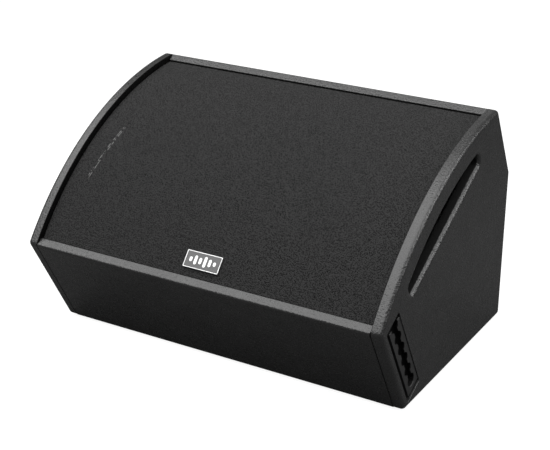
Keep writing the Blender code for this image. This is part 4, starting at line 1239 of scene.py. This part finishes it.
def compression_driver():
    """Magnet housing, thin domed diaphragm and rear cap."""
    top = -HORN_DEPTH - 4.6 * MM
    low = top - 30 * MM
    housing = [(HORN_THROAT, top), (34 * MM, top), (44 * MM, top - 6 * MM), (44 * MM, low)]
    housing += [(24 * MM, low), (HORN_THROAT, low + 14 * MM)]
    rim = low - GAP
    thin = 0.8 * MM
    upper = [(21 * MM * math.sin(a), rim + 7 * MM * math.cos(a)) for a in quarter(12)]
    upper.append((32 * MM, rim))
    diaphragm = upper + [(r, h - thin) for r, h in reversed(upper)]
    lid = rim - thin - GAP
    cap = [(0, lid - 9 * MM), (26 * MM, lid - 9 * MM), (30 * MM, lid), (33 * MM, lid), (33 * MM, rim)]
    cap += [(43 * MM, rim), (43 * MM, lid - 3 * MM), (36 * MM, lid - 12 * MM), (0, lid - 12 * MM)]
    turned_piece("horn_driver_magnet", soften(housing, 1 * MM), HORN_AXIS, "ferrite", 72)
    turned_piece("horn_driver_diaphragm", diaphragm, HORN_AXIS, "zinc_plated_steel", 72)
    turned_piece("horn_driver_cap", soften(cap, 1.5 * MM), HORN_AXIS, "moulded_plastic", 72)


baffle()
for port, port_u in PORT_U.items():
    port_tube(port, port_u)
horn()
compression_driver()


# ---------------------------------------------------------------- woofer

def woofer_piece(name, profile, slot, body="cabinet"):
    """A turned piece of the woofer. Cone, dust cap and voice coil ride on the body that slides."""
    return turned_piece(name, profile, WOOFER_AXIS, slot, 128, body=body)


def washer(inner, outer, high, low):
    return [(inner, high), (outer, high), (outer, low), (inner, low)]


def woofer_basket():
    """A cast frame with six windows."""
    wall = 3 * MM
    shelf = -SHELF_DEPTH
    radius = 96 * MM
    rim = WOOFER_HOLE - 1.5 * MM
    face = 6 * MM
    step = shelf + 9 * MM
    profile = [(FLANGE_RADIUS - 15 * MM, face), (FLANGE_RADIUS, face), (FLANGE_RADIUS, GAP), (rim, GAP)]
    profile += [(rim, -4 * MM), (radius + wall, shelf), (radius + wall, shelf - wall)]
    profile += [(64 * MM, shelf - wall), (64 * MM, shelf), (80 * MM, shelf), (80 * MM, step)]
    profile += [(90 * MM, step), (radius, shelf), (WOOFER_HOLE - 5 * MM, -4 * MM)]
    window = rectangle((-37 * MM, -15 * MM), (37 * MM, 15 * MM), 9 * MM)
    cutters = []
    for number in range(6):
        turn = Matrix.Rotation(math.radians(60 * number + 30), 4, "Z")
        at = WOOFER_AXIS @ turn @ Matrix.Translation((122 * MM, 0, -34 * MM))
        cutters.append(as_object(loft([(-35 * MM, window), (35 * MM, window)]), f"window_{number}", at))
    casting = turned(soften(profile, 1 * MM, 3), 128)
    return finished(casting, "basket", WOOFER_AXIS, "cast_basket", "woofer_basket", cutters=cutters)


def woofer_motor():
    """Top plate, ring magnet, and back plate with its vented pole."""
    thick = 8 * MM
    wide = 76 * MM
    top = -SHELF_DEPTH - 3 * MM - GAP
    plate = washer(40.6 * MM, wide, top, top - thick)
    woofer_piece("woofer_top_plate", soften(plate, 0.8 * MM), "zinc_plated_steel")
    high = top - thick - GAP
    low = high - 20 * MM
    woofer_piece("woofer_magnet", soften(washer(50 * MM, 85 * MM, high, low), 1.5 * MM), "ferrite")
    seat = low - GAP
    vent = 14 * MM
    pole = 37.5 * MM
    yoke = [(vent, top), (pole, top), (pole, seat), (wide, seat), (wide, seat - thick), (vent, seat - thick)]
    woofer_piece("woofer_back_plate", soften(yoke, 0.8 * MM), "zinc_plated_steel")


def cone_curve(share):
    """(radius, height) of the cone's front, from the voice coil at 0 to the rim at 1, with ripples."""
    radius = COIL_RADII[1] + 0.6 * MM + (CONE_RADIUS - COIL_RADII[1]) * share
    swell = max(0.0, min(1.0, (share - 0.25) * 5, (0.92 - share) * 8))
    ripple = 0.3 * MM * math.sin(share * 40) * swell
    return radius, -CONE_DEPTH + (CONE_DEPTH - 1 * MM) * share**1.25 + ripple


def woofer_cone():
    thick = 1.2 * MM
    front = [cone_curve(k / 60) for k in range(61)]
    behind = [(r, h - thick) for r, h in reversed(front)]
    woofer_piece("woofer_cone", front + behind, "paper_cone", "cone_assembly")


def dust_cap():
    """A thin dome that stands on the cone."""
    radius, height = cone_curve(0.16)
    seat = height + 0.6 * MM
    rise = 14 * MM
    thick = 1.2 * MM
    outer = [(0, seat + rise)]
    inner = [(0, seat + rise - thick)]
    for angle in quarter(16)[1:]:
        outer.append((radius * math.sin(angle), seat + rise * math.cos(angle)))
        inner.append(((radius - thick) * math.sin(angle), seat + (rise - thick) * math.cos(angle)))
    woofer_piece("dust_cap", outer + inner[::-1], "paper_cone", "cone_assembly")


def voice_coil():
    """A thin tube with 24 turns of wire at its lower end, each drawn in four steps."""
    former = COIL_RADII[1] - 0.3 * MM
    top = -CONE_DEPTH - 1.5 * MM
    start = -SHELF_DEPTH - 2 * MM
    low = -SHELF_DEPTH - 19 * MM
    tube = [(COIL_RADII[0], low), (COIL_RADII[0], top), (former, top), (former, start)]
    steps = 4 * 24
    for k in range(steps + 1):
        bulge = 0.15 * MM * (1 - math.cos(math.pi / 2 * k))
        tube.append((former + bulge, start + (low - start) * k / steps))
    woofer_piece("voice_coil", tube, "enamelled_copper", "cone_assembly")


def woofer_surround():
    """A half roll of treated cloth from the flange to the cone, whose inner foot reaches down beside the
    cone's rim.
    """
    thick = 1 * MM
    inner = CONE_RADIUS + 2 * MM
    outer = WOOFER_HOLE - 2 * MM
    base = 6 * MM + GAP
    foot = base - 8 * MM
    middle = (inner + outer) / 2
    roll = (outer - inner) / 2
    front = [(inner - 0.9 * MM, foot)]
    front += [(inner, foot + rise * MM) for rise in (1, 3, 5)]
    behind = [(outer + 6 * MM, base)]
    for k in range(17):
        angle = math.pi * k / 16
        rise = math.sin(angle) * 0.6
        front.append((middle - roll * math.cos(angle), base + thick + roll * rise))
        behind.append((middle + (roll - thick) * math.cos(angle), base + (roll - thick) * rise))
    front.append((outer + 6 * MM, base + thick))
    behind += [(inner + thick, foot + 5 * MM), (inner + thick, foot + 3 * MM), (inner + thick, foot)]
    piece = as_object(turned(front + behind, 128), "surround", WOOFER_AXIS)
    smooth(piece, 60)
    piece.data.materials.append(FINISHES["treated_cloth"])
    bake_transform(piece)
    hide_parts("woofer_surround")
    return piece


def woofer_spider():
    """A corrugated ring of treated cloth round the voice coil."""
    start = COIL_RADII[1] + 0.8 * MM
    end = 89 * MM
    height = -SHELF_DEPTH + 9 * MM + GAP
    thick = 1.2 * MM
    upper = []
    for k in range(97):
        share = k / 96
        wave = 0.6 * MM * (1 - math.cos(2 * math.pi * 4 * share)) * (share < 0.75 or share * 4 % 1 == 0)
        upper.append((start + (end - start) * share, height + thick + wave))
    under = [(r, h - thick) for r, h in reversed(upper)]
    return woofer_piece("woofer_spider", upper + under, "treated_cloth")


woofer_basket()
woofer_motor()
woofer_cone()
dust_cap()
voice_coil()
woofer_surround()
woofer_spider()


# ---------------------------------------------------------------- crossover and wadding

def crossover_board():
    """A green laminate board with a hole at each corner."""
    middle, half = middle_and_half("crossover_board")
    at = Matrix.Translation(middle)
    outline = rectangle(-half.xy, half.xy, 3 * MM)
    cutters = []
    for sx in (-1, 1):
        for sy in (-1, 1):
            hole = at @ Matrix.Translation((sx * (half.x - 6 * MM), sy * (half.y - 6 * MM), 0))
            cutters.append(as_object(rod(2.2 * MM, -3 * half.z, 3 * half.z, 24), "board_hole", hole))
    board = stack([(outline, -half.z), (outline, half.z)])
    return finished(board, "board", at, "circuit_board", "crossover_board", cutters=cutters)


def wound(inner, outer, half, wire_width):
    """The profile of an air coil: its outer side and both ends are ribbed by the turns."""
    corners = [Vector(c) for c in ((inner, -half), (inner, half), (outer, half), (outer, -half))]
    profile = []
    for i, start in enumerate(corners):
        side = corners[(i + 1) % 4] - start
        along = side.normalized()
        inward = Vector((along.y, -along.x))
        steps = 4 * round(side.length / wire_width)
        for k in range(steps):
            dent = 0.15 * wire_width * (1 + math.cos(math.pi / 2 * k))
            profile.append(start + side * k / steps + inward * dent)
    return profile


def inductor(name, inner, axis):
    """An air coil lying or standing in the box of its CAD node."""
    middle, half = middle_and_half(name)
    turn = Matrix.Identity(4) if axis == "Z" else Matrix.Rotation(math.pi / 2, 4, "Y")
    profile = wound(inner, half.y, half.z if axis == "Z" else half.x, 1.6 * MM)
    place = Matrix.Translation(middle) @ turn
    return turned_piece(name, profile, place, "enamelled_copper", 72, crease=70)


def capacitor(name):
    """A plastic can lying down, with a groove near one end."""
    middle, size = middle_and_half(name)
    radius, half = size.z, size.x
    groove = half - 5 * MM
    lip = radius - 2 * MM
    end = half - 0.6 * MM
    profile = [(0, -half), (radius, -half), (radius, groove), (radius - 0.8 * MM, groove + 1 * MM)]
    profile += [(radius, groove + 2 * MM), (radius, half), (lip, half), (lip, end), (0, end)]
    place = Matrix.Translation(middle) @ Matrix.Rotation(math.pi / 2, 4, "Y")
    return turned_piece(name, soften(profile, 1.2 * MM), place, "moulded_plastic", 64)


def toward_ball(at):
    """The point of a unit ball that stands for a point of the cube round it."""
    x, y, z = (value * value for value in at)
    shrink = [1 - (b + c) / 2 + b * c / 3 for b, c in ((y, z), (z, x), (x, y))]
    return Vector([value * math.sqrt(share) for value, share in zip(at, shrink)])


def damping_pad(name):
    """A loose pad of fibre fleece with soft corners and an uneven face."""
    middle, half = middle_and_half(name)
    shape = bmesh.new()
    bmesh.ops.create_cube(shape, size=2)
    bmesh.ops.subdivide_edges(shape, edges=shape.edges, cuts=31, use_grid_fill=True)
    for vert in shape.verts:
        front = vert.co.y < 0
        at = vert.co.lerp(toward_ball(vert.co), 0.2) * half * 0.985
        lumps = noise.noise(at * 28) * 1.6 * MM + noise.noise(at * 90) * 0.6 * MM
        at.y += lumps * (1 if front else 0.2)
        vert.co = middle + at
    pad = finished(shape, name + "_piece", None, "wadding", name, crease=80)
    return pad


crossover_board()
inductor("inductor_large", 13 * MM, "Z")
inductor("inductor_small", 9 * MM, "X")
capacitor("capacitor_1")
capacitor("capacitor_2")
damping_pad("damping_pad_left")
damping_pad("damping_pad_right")


# ---------------------------------------------------------------- connector dish

def dish_screw_places():
    x, z = DISH_SCREW_AT
    return [(sx * x, sz * z) for sz in (1, -1) for sx in (-1, 1)]


def connector_dish():
    """A recessed plastic dish, with rounded rims. Local Z points out of the back."""
    inner = Vector(DISH_CUP) / 2
    outer = inner + Vector((DISH_WALL,) * 2)
    flange = Vector(DISH_FLANGE) / 2
    face = GAP + DISH_FLANGE_THICK
    low = -DISH_DEPTH - DISH_WALL

    def rim(half, less, radius):
        small = half - Vector((less * MM,) * 2)
        return rectangle(-small, small, radius * MM)

    levels = [(rim(inner, 1.5, 2.5), -DISH_DEPTH), (rim(inner, 0.4, 3.6), -DISH_DEPTH + 0.4 * MM)]
    levels += [(rim(inner, 0, 4), -DISH_DEPTH + 1.5 * MM), (rim(inner, 0, 4), face - 1.2 * MM)]
    levels += [(rim(inner, -0.35, 4.35), face - 0.35 * MM), (rim(inner, -1.2, 5.2), face)]
    levels += [(rim(flange, 0.9, 5.1), face), (rim(flange, 0.25, 5.75), face - 0.25 * MM)]
    levels += [(rim(flange, 0, 6), face - 0.9 * MM), (rim(flange, 0, 6), GAP), (rim(outer, 0, 6), GAP)]
    levels += [(rim(outer, 0, 6), low + 0.8 * MM), (rim(outer, 0.8, 5.2), low)]
    cutters = []
    for x in (-SOCKET_X, SOCKET_X):
        at = BACK_FACE @ Matrix.Translation((x, 0, -DISH_DEPTH))
        cutters.append(as_object(rod(SOCKET_RADIUS - 0.7 * MM, -6 * MM, 4 * MM), "socket_hole", at))
    for x, z in dish_screw_places():
        at = BACK_FACE @ Matrix.Translation((x, z, 0))
        cutters.append(as_object(rod(2 * MM, -2 * MM, 6 * MM, 32), "screw_hole", at))
    dish = stack(levels)
    return finished(dish, "dish", BACK_FACE, "moulded_plastic", "connector_dish", cutters=cutters)


def dish_screws():
    for number, (x, z) in enumerate(dish_screw_places(), 1):
        at = BACK_FACE @ Matrix.Translation((x, z, 2 * GAP + DISH_FLANGE_THICK))
        turn = Matrix.Rotation(math.radians(25 * number), 4, "Z")
        sizes = (3.6 * MM, 1.6 * MM, 1.6 * MM, 12 * MM)
        screw(f"dish_screw_{number}", at @ turn, *sizes, "zinc_plated_steel")


def socket(name, x):
    """A 4-pole socket: a collar, a ring-shaped well with keyways, and a post with four contacts."""
    front = -DISH_DEPTH + GAP
    rim = front + 2.5 * MM
    tail = front - 24 * MM
    well = rim - 16 * MM
    post = 6 * MM
    reach = 11 * MM
    collar = SOCKET_RADIUS + 2 * MM
    body = SOCKET_RADIUS - 1.2 * MM
    profile = [(0, rim - 1 * MM), (post, rim - 1 * MM), (post, well), (reach, well), (reach, rim)]
    profile += [(collar, rim), (collar, front), (body, front), (body, tail), (0, tail)]
    at = BACK_FACE @ Matrix.Translation((x, 0, 0))
    key = rectangle((reach - 1.5 * MM, -1.3 * MM), (reach + 0.9 * MM, 1.3 * MM), 0.3 * MM, 2)
    cutters = []
    for turn in (90, 210, 330):
        way = at @ Matrix.Rotation(math.radians(turn), 4, "Z")
        cutters.append(as_object(stack([(key, well + 3 * MM), (key, rim + 2 * MM)]), "keyway", way))
    turned_piece(name, soften(profile, 0.7 * MM), at, "moulded_plastic", 80, cutters=cutters)
    socket_contacts(name, at, post, well + 2 * MM, rim - 3 * MM)


def socket_contacts(name, place, radius, low, high):
    """Four upright brass strips on the post."""
    blade = rectangle((-1.6 * MM, low), (1.6 * MM, high), 0.4 * MM, 3)
    levels = [(blade, radius - 0.3 * MM), (inset(blade, 0.1 * MM), radius + 0.35 * MM)]
    contacts = bmesh.new()
    for turn in (45, 135, 225, 315):
        tower(contacts, levels, Matrix.Rotation(math.radians(turn), 4, "Z") @ STACKED.inverted())
    bmesh.ops.recalc_face_normals(contacts, faces=contacts.faces)
    finished(contacts, name + "_contacts", place, "zinc_plated_steel", finish=("contact_brass",))


connector_dish()
dish_screws()
socket("socket_input", -SOCKET_X)
socket("socket_link", SOCKET_X)


# ---------------------------------------------------------------- floor, lights and camera

def flat_floor(name, height, finish):
    mesh = bpy.data.meshes.new(name)
    shape = bmesh.new()
    bmesh.ops.create_grid(shape, x_segments=1, y_segments=1, size=30)
    shape.to_mesh(mesh)
    shape.free()
    floor = bpy.data.objects.new(name, mesh)
    floor.location.z = height
    mesh.materials.append(finish)
    bpy.context.scene.collection.objects.link(floor)
    return floor


def studio_floor():
    """A pale floor for the eye, over a grey one that throws its light back on the cabinet."""
    pale, _, shader, _ = new_finish("pale_floor", 1.0, specular=0.0)
    shader.inputs["Base Color"].default_value = (0.2, 0.2, 0.2, 1)
    shader.inputs["Emission Color"].default_value = (1, 1, 1, 1)
    shader.inputs["Emission Strength"].default_value = 0.9
    seen = flat_floor("pale_floor", 0, pale)
    seen.visible_diffuse = False
    seen.visible_glossy = False
    seen.visible_shadow = False
    grey, _, shader, _ = new_finish("grey_floor", 1.0, specular=0.0)
    shader.inputs["Base Color"].default_value = (0.095, 0.095, 0.095, 1)
    felt = flat_floor("grey_floor", -0.5 * MM, grey)
    felt.visible_camera = False


def softbox(name, at, toward, size, radiance):
    """A rectangular lamp at a place, facing a point."""
    lamp = bpy.data.lights.new(name, "AREA")
    lamp.shape = "RECTANGLE"
    lamp.size, lamp.size_y = size
    lamp.energy = radiance * math.pi * size[0] * size[1]
    obj = bpy.data.objects.new(name, lamp)
    obj.location = at
    obj.rotation_euler = (Vector(at) - Vector(toward)).to_track_quat("Z", "Y").to_euler()
    bpy.context.scene.collection.objects.link(obj)


def studio_world():
    """Dim light from all round, brighter from above than from below."""
    world = bpy.data.worlds.new("studio")
    world.use_nodes = True
    tree = world.node_tree
    place = tree.nodes.new("ShaderNodeTexCoord").outputs["Generated"]
    height = node(tree, "ShaderNodeSeparateXYZ", {"Vector": place}).outputs["Z"]
    grey = shade(tree, spread(tree, height, -0.6, 0.8, 0, 1), 0.03, 0.2)
    background = tree.nodes["Background"]
    tree.links.new(grey, background.inputs["Color"])
    background.inputs["Strength"].default_value = 1.0
    bpy.context.scene.world = world


def studio_camera():
    """Looks at the cabinet from the right and above, with a long lens."""
    lens = bpy.data.cameras.new("camera")
    lens.lens = 88.2
    lens.sensor_width = 36
    lens.clip_start = 0.05
    camera = bpy.data.objects.new("camera", lens)
    azimuth, elevation, roll = (math.radians(a) for a in (30.42, 23.12, 0.23))
    turn = Matrix.Rotation(azimuth, 4, "Z") @ Matrix.Rotation(math.pi / 2 - elevation, 4, "X")
    turn = turn @ Matrix.Rotation(roll, 4, "Z")
    camera.matrix_world = Matrix.Translation((0.9754, -1.6514, 0.9919)) @ turn
    bpy.context.scene.collection.objects.link(camera)
    bpy.context.scene.camera = camera


studio_floor()
softbox("overhead", (-0.6, -1.13, 2.2), (-0.6, -1.13, 0), (4.8, 3.74), 3.75)
softbox("right", (2.0, 0.75, 1.25), (0, 0, 0.2), (1.2, 1.0), 6.5)
softbox("rear", (-0.95, 2.4, 1.8), (-0.1, 0.2, 0.3), (0.9, 0.9), 0.7)
studio_world()
studio_camera()
bpy.context.scene.view_settings.view_transform = "Standard"
